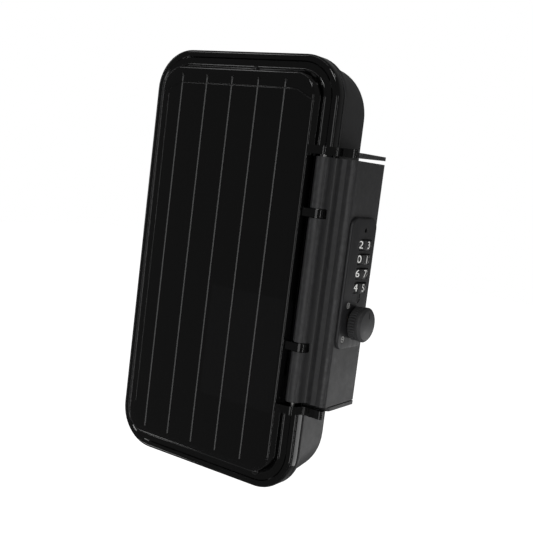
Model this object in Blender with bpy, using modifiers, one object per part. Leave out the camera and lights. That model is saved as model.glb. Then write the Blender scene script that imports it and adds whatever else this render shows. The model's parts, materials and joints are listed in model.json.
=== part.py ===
"""Lockable weatherproof cover box for a double wall outlet, modelled in metres.

The origin is the centre of the box on the wall face. X runs across the front, Z is up and
-Y points out of the wall. Below, "out" is the distance in front of the wall, so y = -out.
"""

import math

import bmesh
import bpy
from mathutils import Matrix, Vector

MM = 0.001

# Clearances
GAP = 0.3 * MM
RUNNING_GAP = 0.5 * MM
CUT_OVERSHOOT = 2.0 * MM
PIVOT_DISPLAY = 5.0 * MM

# Overall sizes
BOX_WIDTH = 108.0 * MM
BOX_HEIGHT = 207.0 * MM
BOX_CORNER = 20.0 * MM
BOX_DEPTH = 36.0 * MM
CORNER_STEPS = 6

# Base tray
BASE_RIM_OUT = 24.0 * MM
BASE_RIM_LIP = 2.4 * MM
BASE_SIDE_INSET = 1.0 * MM
BASE_DRAFT = 0.6 * MM
BASE_CORNER = 25.0 * MM
BASE_WALL = 2.5 * MM
GANG_PITCH = 91.0 * MM
GANG_WINDOW = (52.0 * MM, 60.0 * MM)
GANG_SCREW_PITCH = 60.3 * MM
GANG_SCREW_HOLE = 2.3 * MM
GANG_BOSS = (10.0 * MM, 16.0 * MM)
GANG_BOSS_OUT = 5.0 * MM
CABLE_NOTCH_DEPTH = 7.5 * MM
SIDE_CUT = 8.0 * MM

# Seals
WALL_SEAL_INSET = 7.0 * MM
WALL_SEAL_WIDTH = 3.0 * MM
WALL_SEAL_THICKNESS = 1.0 * MM
COVER_SEAL_INSET = 0.6 * MM
COVER_SEAL_WIDTH = 1.5 * MM
COVER_SEAL_THICKNESS = 0.5 * MM
PARTING_GAP = 1.0 * MM
GROMMET_X = 18.0 * MM
GROMMET_WIDTH = 14.0 * MM
GROMMET_OUT = 9.0 * MM
GROMMET_LIP = 1.2 * MM

# Cover
COVER_WALL = 2.0 * MM
COVER_FLANGE_OUT = 30.0 * MM
COVER_FLANGE_WIDTH = 7.5 * MM
PANEL_DRAFT = 2.0 * MM
EDGE_CHAMFER = 0.6 * MM
GROOVE_COUNT = 5
GROOVE_PITCH = 15.3 * MM
GROOVE_SHIFT = -1.8 * MM
GROOVE_LENGTH = 180.5 * MM
GROOVE_WIDTH = 0.8 * MM
GROOVE_DEPTH = 0.5 * MM

# Cover hinge on the left side
COVER_PIN_RADIUS = 1.25 * MM
COVER_KNUCKLE_RADIUS = 3.2 * MM
COVER_HINGE_OUTSET = 3.2 * MM
COVER_HINGE_DROP = 4.5 * MM
COVER_HINGE_Z = 52.0 * MM
COVER_KNUCKLE_HALF = 20.0 * MM
COVER_MIDDLE_HALF = 9.0 * MM
COVER_KNUCKLE_SLOPE = (2.2 * MM, 0.6 * MM)
COVER_KNUCKLE_DROP = 2.0 * MM
COVER_KNUCKLE_RISE = 0.2 * MM

# Lock flap on the right side
FLAP_LOW = -56.5 * MM
FLAP_HIGH = 57.5 * MM
FLAP_REACH = 12.6 * MM
FLAP_WALL = 2.0 * MM
FLAP_SKIN = 1.6 * MM
FLAP_REAR = 0.4 * MM
FLAP_SHOULDER = 3.6 * MM
FLAP_BARREL_START = (2.4 * MM, 2.7 * MM)
# The flap's front in plan, from its outer corner and the barrel's axis: valley, two ridges.
FLAP_WAVE = (
    (10.6 * MM, 2.4 * MM),
    (9.0 * MM, 2.3 * MM),
    (7.1 * MM, 1.7 * MM),
    (4.8 * MM, 2.2 * MM),
    (2.2 * MM, 1.5 * MM),
    (0.5 * MM, 2.5 * MM),
)
BARREL_INSET = 3.0 * MM
BARREL_OUT = 30.5 * MM
BARREL_RADIUS = 3.7 * MM
FLAP_PIN_RADIUS = 1.0 * MM
FLAP_KNUCKLES_Z = (31.8 * MM, -30.4 * MM)
FLAP_KNUCKLE_WIDTH = 3.8 * MM
FLAP_KNUCKLE_RADIUS = 4.0 * MM
LEDGE_THICKNESS = 1.2 * MM
LEDGE_EDGE = 0.4 * MM
LEDGE_RISE = 1.0 * MM
COVER_EAR_THICKNESS = 3.9 * MM
COVER_EAR_LOW = 58.4 * MM
COVER_EAR_SETBACK = 1.2 * MM
COVER_EAR_TOP = 1.2 * MM
BASE_EAR_THICKNESS = 1.8 * MM
BASE_EAR_TOP_GAP = 1.8 * MM
BASE_EAR_LOW_GAP = 0.5 * MM
BASE_EAR_SEAM = 0.6 * MM
BASE_EAR_ROUND = 2.0 * MM

# Lock plate and its inner housing
PLATE_LOW = -29.2 * MM
PLATE_HIGH = 32.1 * MM
PLATE_REAR = 2.6 * MM
PLATE_FRONT = 26.8 * MM
PLATE_CORNER = 5.0 * MM
PLATE_THICKNESS = 1.2 * MM
HOUSING_DEPTH = 9.3 * MM
HOUSING_WALL = 1.0 * MM
HOUSING_CHEEK = 1.8 * MM
HOUSING_TAB = (5.8 * MM, 1.5 * MM)
HOUSING_ROOM = (1.5 * MM, 1.9 * MM)
HOUSING_SIDE_ROOM = 0.8 * MM

# Number dials
DIAL_COUNT = 4
DIAL_TOP_Z = 19.6 * MM
DIAL_PITCH = 6.7 * MM
DIAL_WIDTH = 4.6 * MM
DIAL_RADIUS = 8.0 * MM
DIAL_PROUD = 1.9 * MM
DIAL_OUT = 12.2 * MM
DIAL_FACES = 20
DIAL_CHAMFER = 0.6 * MM
ARBOR_RADIUS = 1.2 * MM
SPRING_THICKNESS = 0.4 * MM
SPRING_WIDTH = 4.0 * MM
RESET_HOLE = (26.4 * MM, 13.5 * MM, 1.1 * MM)

# Knob, spindle and cam
KNOB_Z = -17.0 * MM
KNOB_OUT = 13.5 * MM
KNOB_RADIUS = 8.2 * MM
KNOB_LENGTH = 7.0 * MM
KNOB_CAP_ROUND = 1.6 * MM
KNOB_SKIRT = (7.8 * MM, 4.0 * MM)
KNOB_BORE_DEPTH = 4.0 * MM
KNOB_CROWN = 0.4 * MM
KNOB_STANDOFF = 0.6 * MM
SPINDLE_RADIUS = 3.0 * MM
BUSHING_RADIUS = 4.6 * MM
NUT_RADIUS = 6.6 * MM
NUT_THICKNESS = 2.7 * MM
BUSHING_BEHIND_NUT = 0.6 * MM
CAM_LENGTH = 12.3 * MM
CAM_WIDTH = 7.0 * MM
CAM_THICKNESS = 1.6 * MM
CAM_BEHIND_WALL = 4.0 * MM
CAM_ROUND = 1.0 * MM
CAM_SCREW_HEAD = (4.4 * MM, 1.5 * MM)
CAM_SCREW_SHANK = (1.3 * MM, 5.0 * MM)

# Strike that the cam turns behind
STRIKE_PLATE = 1.5 * MM
STRIKE_WIDTH = 11.0 * MM
STRIKE_OVERLAP = 4.8 * MM
STRIKE_TIP_ROOM = 4.2 * MM
STRIKE_FOOT = 15.0 * MM
STRIKE_SCREWS = (3.4 * MM, 10.0 * MM)
STRIKE_SCREW_LENGTH = 4.5 * MM

# Small screws
SCREW_SHANK = 1.2 * MM
SCREW_HEAD = (2.4 * MM, 1.3 * MM)
SCREW_TIP_COVER = 0.5 * MM
LOCK_SCREW_INSET = (3.0 * MM, 2.8 * MM)
LOCK_SCREW_SPREAD = 5.0 * MM

HALF_WIDTH = BOX_WIDTH / 2
HALF_HEIGHT = BOX_HEIGHT / 2
COVER_REAR = BASE_RIM_OUT + PARTING_GAP
PANEL_INSET = COVER_FLANGE_WIDTH + PANEL_DRAFT
SIDE_X = HALF_WIDTH - BASE_SIDE_INSET
REAR_CORNER = BASE_CORNER + BASE_SIDE_INSET + BASE_DRAFT
FLAP_X = HALF_WIDTH + FLAP_REACH
FLAP_INNER_X = FLAP_X - FLAP_WALL
PLATE_X = FLAP_X + GAP + PLATE_THICKNESS
BARREL_X = HALF_WIDTH - BARREL_INSET
DIAL_X = PLATE_X + DIAL_PROUD - DIAL_RADIUS
DIAL_LOW_Z = DIAL_TOP_Z - (DIAL_COUNT - 1) * DIAL_PITCH
HOUSING_X = FLAP_INNER_X - GAP
HINGE_X = -HALF_WIDTH - COVER_HINGE_OUTSET
HINGE_OUT = BASE_RIM_OUT - COVER_HINGE_DROP
CAM_X = FLAP_INNER_X - CAM_BEHIND_WALL
LOCK_SCREWS = (
    (PLATE_HIGH - LOCK_SCREW_INSET[0], DIAL_OUT + LOCK_SCREW_SPREAD),
    (PLATE_HIGH - LOCK_SCREW_INSET[0], DIAL_OUT - LOCK_SCREW_SPREAD),
    (PLATE_LOW + LOCK_SCREW_INSET[1], DIAL_OUT - LOCK_SCREW_SPREAD),
)

# How a flat outline's own axes lie in space: its thickness runs along the named axis.
FACING = {
    "Y": Matrix(((1, 0, 0), (0, 0, -1), (0, 1, 0))),
    "Z": Matrix(((1, 0, 0), (0, -1, 0), (0, 0, -1))),
    "X": Matrix(((0, 0, -1), (-1, 0, 0), (0, 1, 0))),
}


def clear_scene():
    for item in list(bpy.data.objects):
        bpy.data.objects.remove(item, do_unlink=True)


def collection(name):
    group = bpy.data.collections.new(name)
    bpy.context.scene.collection.children.link(group)
    return group


clear_scene()
PARTS = collection("outlet_cover_box")
CUTTERS = collection("cutters")


def material(name, colour, roughness, metallic=0.0, transmission=0.0):
    made = bpy.data.materials.new(name)
    made.use_nodes = True
    shader = made.node_tree.nodes["Principled BSDF"]
    shader.inputs["Base Color"].default_value = (*colour, 1.0)
    shader.inputs["Roughness"].default_value = roughness
    shader.inputs["Metallic"].default_value = metallic
    shader.inputs["Transmission Weight"].default_value = transmission
    return made


BLACK_PLASTIC = material("black_plastic", (0.012, 0.012, 0.013), 0.55)
SMOKE_PLASTIC = material("smoke_plastic", (0.02, 0.02, 0.022), 0.08, 0.0, 0.4)
RUBBER = material("seal_rubber", (0.03, 0.03, 0.03), 0.85)
STEEL = material("zinc_steel", (0.55, 0.55, 0.54), 0.35, 1.0)
BLACK_METAL = material("black_metal", (0.02, 0.02, 0.022), 0.4, 0.6)
BRASS = material("brass", (0.65, 0.5, 0.25), 0.35, 1.0)


def arc(centre, radius, start, end, steps):
    """Points on an arc, with the angles in degrees."""
    angles = (math.radians(start + (end - start) * i / steps) for i in range(steps + 1))
    return [(centre[0] + radius * math.cos(a), centre[1] + radius * math.sin(a)) for a in angles]


def rounded_rectangle(half_w, half_h, radius, steps=CORNER_STEPS, centre=(0.0, 0.0)):
    points = []
    for turn, (sx, sy) in enumerate(((1, 1), (-1, 1), (-1, -1), (1, -1))):
        corner = (centre[0] + sx * (half_w - radius), centre[1] + sy * (half_h - radius))
        points += arc(corner, radius, 90 * turn, 90 * turn + 90, steps)
    return points


def add_object(name, mesh, finish, group=None):
    item = bpy.data.objects.new(name, mesh)
    (group or PARTS).objects.link(item)
    mesh.materials.clear()
    mesh.materials.append(finish)
    if group is CUTTERS:
        item.hide_render = True
        item.display_type = "WIRE"
    return item


def mesh_from(build, name, closed=True):
    mesh = bpy.data.meshes.new(name)
    shape = bmesh.new()
    build(shape)
    if closed:
        bmesh.ops.recalc_face_normals(shape, faces=shape.faces)
    shape.to_mesh(mesh)
    shape.free()
    mesh.shade_smooth()
    mesh.set_sharp_from_angle(angle=math.radians(35))
    return mesh


def outline(name, points, low, high, facing, finish, group=None):
    """A flat outline given its thickness, from low to high along the facing axis."""
    curve = bpy.data.curves.new(name, "CURVE")
    curve.dimensions = "2D"
    curve.fill_mode = "BOTH"
    curve.extrude = (high - low) / 2
    spline = curve.splines.new("POLY")
    spline.points.add(len(points) - 1)
    for point, (u, v) in zip(spline.points, points):
        point.co = (u, v, 0.0, 1.0)
    spline.use_cyclic_u = True
    guide = bpy.data.objects.new(name + "_curve", curve)
    CUTTERS.objects.link(guide)
    middle = (high + low) / 2
    place = {"Y": (0, -middle, 0), "Z": (0, 0, middle), "X": (middle, 0, 0)}[facing]
    guide.matrix_world = Matrix.Translation(place) @ FACING[facing].to_4x4()
    bpy.context.view_layer.update()
    graph = bpy.context.evaluated_depsgraph_get()
    flat = bpy.data.meshes.new_from_object(guide.evaluated_get(graph))
    where = guide.matrix_world.copy()
    bpy.data.objects.remove(guide)

    def build(shape):
        shape.from_mesh(flat)
        bmesh.ops.remove_doubles(shape, verts=shape.verts, dist=1e-6)
        bmesh.ops.transform(shape, matrix=where, verts=shape.verts)

    return add_object(name, mesh_from(build, name), finish, group)


def box(name, x, out, z, finish, group=None):
    """A box between the two values given for x, out and z."""
    size = Vector((x[1] - x[0], out[1] - out[0], z[1] - z[0]))
    middle = Vector((sum(x) / 2, -sum(out) / 2, sum(z) / 2))

    def build(shape):
        place = Matrix.Translation(middle) @ Matrix.Diagonal((*size, 1.0))
        bmesh.ops.create_cube(shape, size=1.0, matrix=place)

    return add_object(name, mesh_from(build, name), finish, group)


TURN = {
    "X": Matrix.Rotation(math.pi / 2, 4, "Y"),
    "Y": Matrix.Rotation(-math.pi / 2, 4, "X"),
    "Z": Matrix.Identity(4),
}


def rod(name, radius, centre, length, along, finish, group=None, segments=24):
    """A cylinder centred on a point (x, out, z), along an axis."""

    def build(shape):
        place = Matrix.Translation((centre[0], -centre[1], centre[2])) @ TURN[along]
        bmesh.ops.create_cone(
            shape, cap_ends=True, segments=segments, radius1=radius, radius2=radius,
            depth=length, matrix=place,
        )

    return add_object(name, mesh_from(build, name), finish, group)


def turned(name, profile, place, finish, steps=24):
    """A turned solid: the profile's (radius, height) points run from its top to its bottom."""
    mesh = bpy.data.meshes.new(name)
    shape = bmesh.new()
    points = [shape.verts.new((radius, 0.0, height)) for radius, height in profile]
    for first, second in zip(points, points[1:]):
        shape.edges.new((first, second))
    shape.to_mesh(mesh)
    shape.free()
    item = add_object(name, mesh, finish)
    item.matrix_world = place
    screw = item.modifiers.new("Turn", "SCREW")
    screw.steps = steps
    screw.render_steps = steps
    screw.use_merge_vertices = True
    screw.merge_threshold = 1e-6
    screw.use_smooth_shade = True
    return item


def boolean(item, other, operation):
    step = item.modifiers.new(operation.title(), "BOOLEAN")
    step.operation = operation
    step.object = other
    step.solver = item.get("boolean_solver", "EXACT")


def cut(item, *tools):
    for tool in tools:
        boolean(item, tool, "DIFFERENCE")


def join(item, *tools):
    for tool in tools:
        boolean(item, tool, "UNION")


def lofted_shell(name, rings, thickness, finish):
    """A thin shell through rounded rectangles (inset, out, corner), closed over its last one."""

    def build(shape):
        loops = []
        for inset, out, corner in rings:
            points = rounded_rectangle(HALF_WIDTH - inset, HALF_HEIGHT - inset, corner)
            loops.append([shape.verts.new((x, -out, z)) for x, z in points])
        for lower, upper in zip(loops, loops[1:]):
            for i in range(len(lower)):
                j = (i + 1) % len(lower)
                shape.faces.new((lower[i], lower[j], upper[j], upper[i]))
        shape.faces.new(loops[-1])
        if rings[-1][1] < rings[0][1]:
            bmesh.ops.reverse_faces(shape, faces=shape.faces)

    item = add_object(name, mesh_from(build, name, closed=False), finish)
    solid = item.modifiers.new("Wall", "SOLIDIFY")
    solid.thickness = thickness
    solid.offset = -1.0
    solid.use_even_offset = True
    return item


def ring(name, corner, inset, width, low, high, finish, group=None):
    """A flat ring that follows a corner of that radius, as one solid with its middle cut out."""
    outer = rounded_rectangle(HALF_WIDTH - inset, HALF_HEIGHT - inset, corner - inset)
    far = inset + width
    inner = rounded_rectangle(HALF_WIDTH - far, HALF_HEIGHT - far, corner - far)
    item = outline(name, outer, low, high, "Y", finish, group)
    hole = outline(
        name + "_hole", inner, low - CUT_OVERSHOOT, high + CUT_OVERSHOOT, "Y", finish, CUTTERS
    )
    cut(item, hole)
    return item


def gang_centres():
    return (GANG_PITCH / 2, -GANG_PITCH / 2)


def hinge_spans():
    """The stretches of z of the cover hinge: each has two base knuckles and one cover knuckle."""
    return (COVER_HINGE_Z, -COVER_HINGE_Z)


def base_knuckle(name, low, high):
    points = [
        (-SIDE_X + BASE_WALL / 2, HINGE_OUT - COVER_KNUCKLE_RADIUS),
        (-SIDE_X + BASE_WALL / 2, HINGE_OUT + COVER_KNUCKLE_RADIUS - RUNNING_GAP),
        (HINGE_X, HINGE_OUT + COVER_KNUCKLE_RADIUS),
        *arc((HINGE_X, HINGE_OUT), COVER_KNUCKLE_RADIUS, 105, 255, 8),
        (HINGE_X, HINGE_OUT - COVER_KNUCKLE_RADIUS),
    ]
    return outline(name, points, low, high, "Z", BLACK_PLASTIC, CUTTERS)


def make_base():
    rings = (
        (0.0, BASE_RIM_OUT, BOX_CORNER),
        (0.0, BASE_RIM_OUT - BASE_RIM_LIP, BOX_CORNER),
        (BASE_SIDE_INSET, BASE_RIM_OUT - BASE_RIM_LIP - BASE_DRAFT, BOX_CORNER + BASE_DRAFT),
        (BASE_SIDE_INSET + BASE_DRAFT, 0.0, BASE_CORNER),
    )
    base = lofted_shell("base_shell", rings, BASE_WALL, BLACK_PLASTIC)
    for z in hinge_spans():
        for end in (1, -1):
            near = z + end * (COVER_MIDDLE_HALF + GAP)
            far = z + end * COVER_KNUCKLE_HALF
            join(base, base_knuckle("base_knuckle", min(near, far), max(near, far)))
        cut(base, rod("pin_bore", COVER_PIN_RADIUS + GAP, (HINGE_X, HINGE_OUT, z),
                      2 * COVER_KNUCKLE_HALF + 2 * CUT_OVERSHOOT, "Z", STEEL, CUTTERS))
    for z in gang_centres():
        for x in (GANG_SCREW_PITCH / 2, -GANG_SCREW_PITCH / 2):
            half_w, half_h = GANG_BOSS[0] / 2, GANG_BOSS[1] / 2
            join(base, box("boss", (x - half_w, x + half_w), (BASE_WALL / 2, GANG_BOSS_OUT),
                           (z - half_h, z + half_h), BLACK_PLASTIC, CUTTERS))
        for x in (GANG_SCREW_PITCH / 2, -GANG_SCREW_PITCH / 2):
            cut(base, rod("gang_hole", GANG_SCREW_HOLE, (x, BASE_WALL, z),
                          2 * GANG_BOSS_OUT, "Y", STEEL, CUTTERS, 16))
        cut(base, box("gang_window", (-GANG_WINDOW[0] / 2, GANG_WINDOW[0] / 2),
                      (-CUT_OVERSHOOT, GANG_BOSS_OUT + CUT_OVERSHOOT),
                      (z - GANG_WINDOW[1] / 2, z + GANG_WINDOW[1] / 2), STEEL, CUTTERS))
    groove = ring("seal_groove", REAR_CORNER, WALL_SEAL_INSET - GAP, WALL_SEAL_WIDTH + 2 * GAP,
                  -CUT_OVERSHOOT, WALL_SEAL_THICKNESS + GAP, RUBBER, CUTTERS)
    cut(base, groove)
    for x in (GROMMET_X, -GROMMET_X):
        half = GROMMET_WIDTH / 2
        cut(base, box("cable_notch", (x - half, x + half), (GROMMET_OUT, COVER_REAR),
                      (-HALF_HEIGHT - CUT_OVERSHOOT, -HALF_HEIGHT + CABLE_NOTCH_DEPTH),
                      STEEL, CUTTERS))
    for z in strike_screw_places():
        cut(base, rod("strike_hole", SCREW_SHANK + GAP, (SIDE_X, KNOB_OUT, z),
                      4 * BASE_WALL, "X", STEEL, CUTTERS, 16))


def make_base_ears():
    """The two plates on the tray's side that guard the flap's ends."""
    slope_out = BASE_RIM_OUT - BASE_RIM_LIP - BASE_DRAFT
    ear_out = COVER_REAR - BASE_EAR_SEAM
    centre = (FLAP_X - BASE_EAR_ROUND, ear_out - BASE_EAR_ROUND)
    points = [
        (SIDE_X - BASE_DRAFT + GAP, 0.0),
        (FLAP_X, 0.0),
        *arc(centre, BASE_EAR_ROUND, 0, 90, 4),
        (HALF_WIDTH + GAP, ear_out),
        (HALF_WIDTH + GAP, slope_out),
        (SIDE_X + GAP, slope_out - BASE_SIDE_INSET),
    ]
    for name, low in (
        ("base_ear_upper", FLAP_HIGH + BASE_EAR_TOP_GAP),
        ("base_ear_lower", FLAP_LOW - BASE_EAR_LOW_GAP - BASE_EAR_THICKNESS),
    ):
        outline(name, points, low, low + BASE_EAR_THICKNESS, "Z", BLACK_PLASTIC)


def make_seals():
    ring("wall_gasket", REAR_CORNER, WALL_SEAL_INSET, WALL_SEAL_WIDTH, 0.0,
         WALL_SEAL_THICKNESS, RUBBER)
    low = BASE_RIM_OUT + (PARTING_GAP - COVER_SEAL_THICKNESS) / 2
    ring("cover_gasket", BOX_CORNER, COVER_SEAL_INSET, COVER_SEAL_WIDTH, low,
         low + COVER_SEAL_THICKNESS, RUBBER)
    for side, x in (("right", GROMMET_X), ("left", -GROMMET_X)):
        half = GROMMET_WIDTH / 2 - GAP
        inner = -HALF_HEIGHT + BASE_SIDE_INSET + BASE_DRAFT + BASE_WALL + GAP
        outer = -HALF_HEIGHT + GAP
        top = BASE_RIM_OUT - GAP
        plug = box(f"cable_grommet_{side}", (x - half, x + half), (GROMMET_OUT + GAP, top),
                   (outer, inner + GROMMET_LIP), RUBBER)
        join(plug, box("grommet_lip", (x - half - GROMMET_LIP, x + half + GROMMET_LIP),
                       (GROMMET_OUT - GROMMET_LIP, top),
                       (inner, inner + GROMMET_LIP), RUBBER, CUTTERS))


def flap_pin_length():
    """The flap's pin stops inside the ears, short of their outer faces."""
    return 2 * (COVER_EAR_LOW + COVER_EAR_THICKNESS - 2 * GAP)


def ear_outline():
    """The plan of the cover's ears, which follow the flap's front."""
    return [
        (SIDE_X - COVER_FLANGE_WIDTH - COVER_WALL / 2, COVER_REAR),
        (FLAP_X - COVER_EAR_SETBACK, COVER_REAR),
        *flap_front()[::-1],
        (BARREL_X + COVER_EAR_TOP, BARREL_OUT + FLAP_KNUCKLE_RADIUS),
        (HALF_WIDTH - PANEL_INSET + GAP, BOX_DEPTH - GAP),
        (HALF_WIDTH - PANEL_INSET - COVER_WALL / 2, BOX_DEPTH - 2 * GAP),
    ]


def flap_front():
    """The flap's outer front line in plan, from the barrel to the corner."""
    return [(FLAP_X - inset, BARREL_OUT - drop) for inset, drop in FLAP_WAVE]


def make_cover():
    rings = (
        (0.0, COVER_REAR, BOX_CORNER),
        (0.0, COVER_FLANGE_OUT - EDGE_CHAMFER, BOX_CORNER),
        (EDGE_CHAMFER, COVER_FLANGE_OUT, BOX_CORNER - EDGE_CHAMFER),
        (COVER_FLANGE_WIDTH, COVER_FLANGE_OUT, BOX_CORNER - COVER_FLANGE_WIDTH),
        (PANEL_INSET, BOX_DEPTH, BOX_CORNER - PANEL_INSET),
    )
    cover = lofted_shell("cover", rings, COVER_WALL, SMOKE_PLASTIC)
    cover["boolean_solver"] = "MANIFOLD"  # the exact solver loses this thin shell
    wall_x = HALF_WIDTH - COVER_FLANGE_WIDTH - GAP / 2
    notch = box("flap_notch", (wall_x, FLAP_X), (COVER_REAR - CUT_OVERSHOOT, BOX_DEPTH),
                (-COVER_EAR_LOW, COVER_EAR_LOW), STEEL, CUTTERS)
    cut(cover, notch)
    ledge_out = COVER_REAR + LEDGE_THICKNESS
    ledge = [
        (wall_x - COVER_WALL, COVER_REAR),
        (HALF_WIDTH - LEDGE_EDGE, COVER_REAR),
        (HALF_WIDTH - LEDGE_EDGE, ledge_out),
        (wall_x, ledge_out),
        (wall_x, COVER_FLANGE_OUT + LEDGE_RISE),
        (wall_x - COVER_WALL, COVER_FLANGE_OUT + LEDGE_RISE),
    ]
    overlap = COVER_EAR_LOW + COVER_EAR_THICKNESS / 2
    join(cover, outline("ledge", ledge, -overlap, overlap, "Z", SMOKE_PLASTIC, CUTTERS))
    for low in (COVER_EAR_LOW, -COVER_EAR_LOW - COVER_EAR_THICKNESS):
        join(cover, outline("cover_ear", ear_outline(), low, low + COVER_EAR_THICKNESS,
                            "Z", SMOKE_PLASTIC, CUTTERS))
    for z in FLAP_KNUCKLES_Z:
        half = FLAP_KNUCKLE_WIDTH / 2
        points = [
            (wall_x - COVER_WALL / 2, BARREL_OUT - FLAP_KNUCKLE_RADIUS),
            *arc((BARREL_X, BARREL_OUT), FLAP_KNUCKLE_RADIUS, -90, 90, 10),
            (wall_x - COVER_WALL / 2, BARREL_OUT + FLAP_KNUCKLE_RADIUS),
        ]
        join(cover, outline("flap_knuckle", points, z - half, z + half, "Z",
                            SMOKE_PLASTIC, CUTTERS))
    cut(cover, rod("flap_pin_bore", FLAP_PIN_RADIUS + GAP, (BARREL_X, BARREL_OUT, 0.0),
                   flap_pin_length() + 2 * GAP, "Z", STEEL, CUTTERS, 16))
    for z in hinge_spans():
        half = COVER_MIDDLE_HALF
        reach = COVER_KNUCKLE_RADIUS
        foot = COVER_REAR + COVER_KNUCKLE_RISE
        shoulder = COVER_FLANGE_OUT - COVER_KNUCKLE_DROP
        slope_x, slope_out = COVER_KNUCKLE_SLOPE
        points = [
            (-HALF_WIDTH + COVER_WALL / 2, foot),
            (-HALF_WIDTH + COVER_WALL / 2, shoulder),
            (-HALF_WIDTH, shoulder),
            (-HALF_WIDTH - slope_x, COVER_REAR + slope_out),
            *arc((HINGE_X, HINGE_OUT), reach, 145, 375, 14),
            (HINGE_X + reach - GAP, foot),
        ]
        join(cover, outline("cover_knuckle", points, z - half, z + half, "Z",
                            SMOKE_PLASTIC, CUTTERS))
        cut(cover, rod("cover_pin_bore", COVER_PIN_RADIUS + GAP, (HINGE_X, HINGE_OUT, z),
                       2 * COVER_MIDDLE_HALF + 2 * CUT_OVERSHOOT, "Z", STEEL, CUTTERS))
    for i in range(GROOVE_COUNT):
        x = GROOVE_SHIFT + (i - (GROOVE_COUNT - 1) / 2) * GROOVE_PITCH
        cut(cover, box("groove", (x - GROOVE_WIDTH / 2, x + GROOVE_WIDTH / 2),
                       (BOX_DEPTH - GROOVE_DEPTH, BOX_DEPTH + CUT_OVERSHOOT),
                       (-GROOVE_LENGTH / 2, GROOVE_LENGTH / 2), STEEL, CUTTERS))
    return cover


def make_pins():
    for name, z in zip(("hinge_pin_upper", "hinge_pin_lower"), hinge_spans()):
        rod(name, COVER_PIN_RADIUS, (HINGE_X, HINGE_OUT, z), 2 * COVER_KNUCKLE_HALF,
            "Z", STEEL, None, 16)
    return rod("flap_hinge_pin", FLAP_PIN_RADIUS, (BARREL_X, BARREL_OUT, 0.0),
               flap_pin_length(), "Z", STEEL, None, 12)


def make_flap():
    front = flap_front()
    start = (BARREL_X + FLAP_BARREL_START[0], BARREL_OUT + FLAP_BARREL_START[1])
    shoulder = BARREL_OUT - FLAP_SHOULDER
    outer = [start, *front, (FLAP_X, shoulder), (FLAP_X, FLAP_REAR)]
    valley, low, rise, dip, ridge, _ = front
    slope = Vector((start[1] - valley[1], valley[0] - start[0])).normalized()
    inner = [
        (FLAP_INNER_X, FLAP_REAR),
        (FLAP_INNER_X, shoulder - GAP),
        (ridge[0] - GAP, ridge[1] - FLAP_WALL),
        (dip[0], dip[1] - FLAP_SKIN),
        (rise[0], rise[1] - FLAP_WALL),
        (low[0], low[1] - FLAP_WALL),
        (valley[0] - FLAP_SKIN / 2, valley[1] - FLAP_SKIN),
        (start[0] - FLAP_SKIN * slope.x, start[1] - FLAP_SKIN * slope.y),
    ]
    flap = outline("lock_flap", outer + inner, FLAP_LOW, FLAP_HIGH, "Z", BLACK_PLASTIC)
    length = FLAP_HIGH - FLAP_LOW
    middle = (FLAP_HIGH + FLAP_LOW) / 2
    join(flap, rod("barrel", BARREL_RADIUS, (BARREL_X, BARREL_OUT, middle), length, "Z",
                   BLACK_PLASTIC, CUTTERS))
    for z in FLAP_KNUCKLES_Z:
        half = FLAP_KNUCKLE_WIDTH / 2 + GAP
        cut(flap, rod("knuckle_room", FLAP_KNUCKLE_RADIUS + RUNNING_GAP,
                      (BARREL_X, BARREL_OUT, z), 2 * half, "Z", STEEL, CUTTERS))
    cut(flap, rod("barrel_bore", FLAP_PIN_RADIUS + GAP, (BARREL_X, BARREL_OUT, middle),
                  length + 2 * CUT_OVERSHOOT, "Z", STEEL, CUTTERS, 16))
    room = DIAL_RADIUS
    wall = (FLAP_INNER_X - CUT_OVERSHOOT, FLAP_X + CUT_OVERSHOOT)
    cut(flap, box("dial_window", wall, (DIAL_OUT - room, DIAL_OUT + room),
                  (DIAL_LOW_Z - DIAL_WIDTH / 2 - RUNNING_GAP,
                   DIAL_TOP_Z + DIAL_WIDTH / 2 + RUNNING_GAP), STEEL, CUTTERS))
    cut(flap, rod("bushing_hole", BUSHING_RADIUS + GAP, (FLAP_X, KNOB_OUT, KNOB_Z),
                  SIDE_CUT, "X", STEEL, CUTTERS))
    for z, out in LOCK_SCREWS:
        cut(flap, rod("lock_screw_hole", SCREW_SHANK + GAP, (FLAP_X, out, z),
                      SIDE_CUT, "X", STEEL, CUTTERS, 12))
    return flap


def dial_heights():
    return [DIAL_TOP_Z - i * DIAL_PITCH for i in range(DIAL_COUNT)]


def make_plate():
    half_out = (PLATE_FRONT - PLATE_REAR) / 2
    half_z = (PLATE_HIGH - PLATE_LOW) / 2
    centre = ((PLATE_FRONT + PLATE_REAR) / 2, (PLATE_HIGH + PLATE_LOW) / 2)
    points = rounded_rectangle(half_out, half_z, PLATE_CORNER, CORNER_STEPS, centre)
    plate = outline("lock_plate", points, FLAP_X + GAP, PLATE_X, "X", BLACK_METAL)
    for z in dial_heights():
        cut(plate, rod("dial_slot", DIAL_RADIUS + GAP, (DIAL_X, DIAL_OUT, z),
                       DIAL_WIDTH + 2 * GAP, "Z", STEEL, CUTTERS, 40))
    z, out, radius = RESET_HOLE
    cut(plate, rod("reset_hole", radius, (PLATE_X, out, z), SIDE_CUT, "X",
                   STEEL, CUTTERS, 12))
    cut(plate, rod("plate_hole", BUSHING_RADIUS + GAP, (PLATE_X, KNOB_OUT, KNOB_Z),
                   SIDE_CUT, "X", STEEL, CUTTERS))
    for z, out in LOCK_SCREWS:
        depth = PLATE_THICKNESS - SCREW_TIP_COVER
        cut(plate, rod("plate_screw_hole", SCREW_SHANK + GAP,
                       (FLAP_X + GAP + depth / 2 - CUT_OVERSHOOT / 2, out, z),
                       depth + CUT_OVERSHOOT, "X", STEEL, CUTTERS, 12))
    return plate


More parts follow.
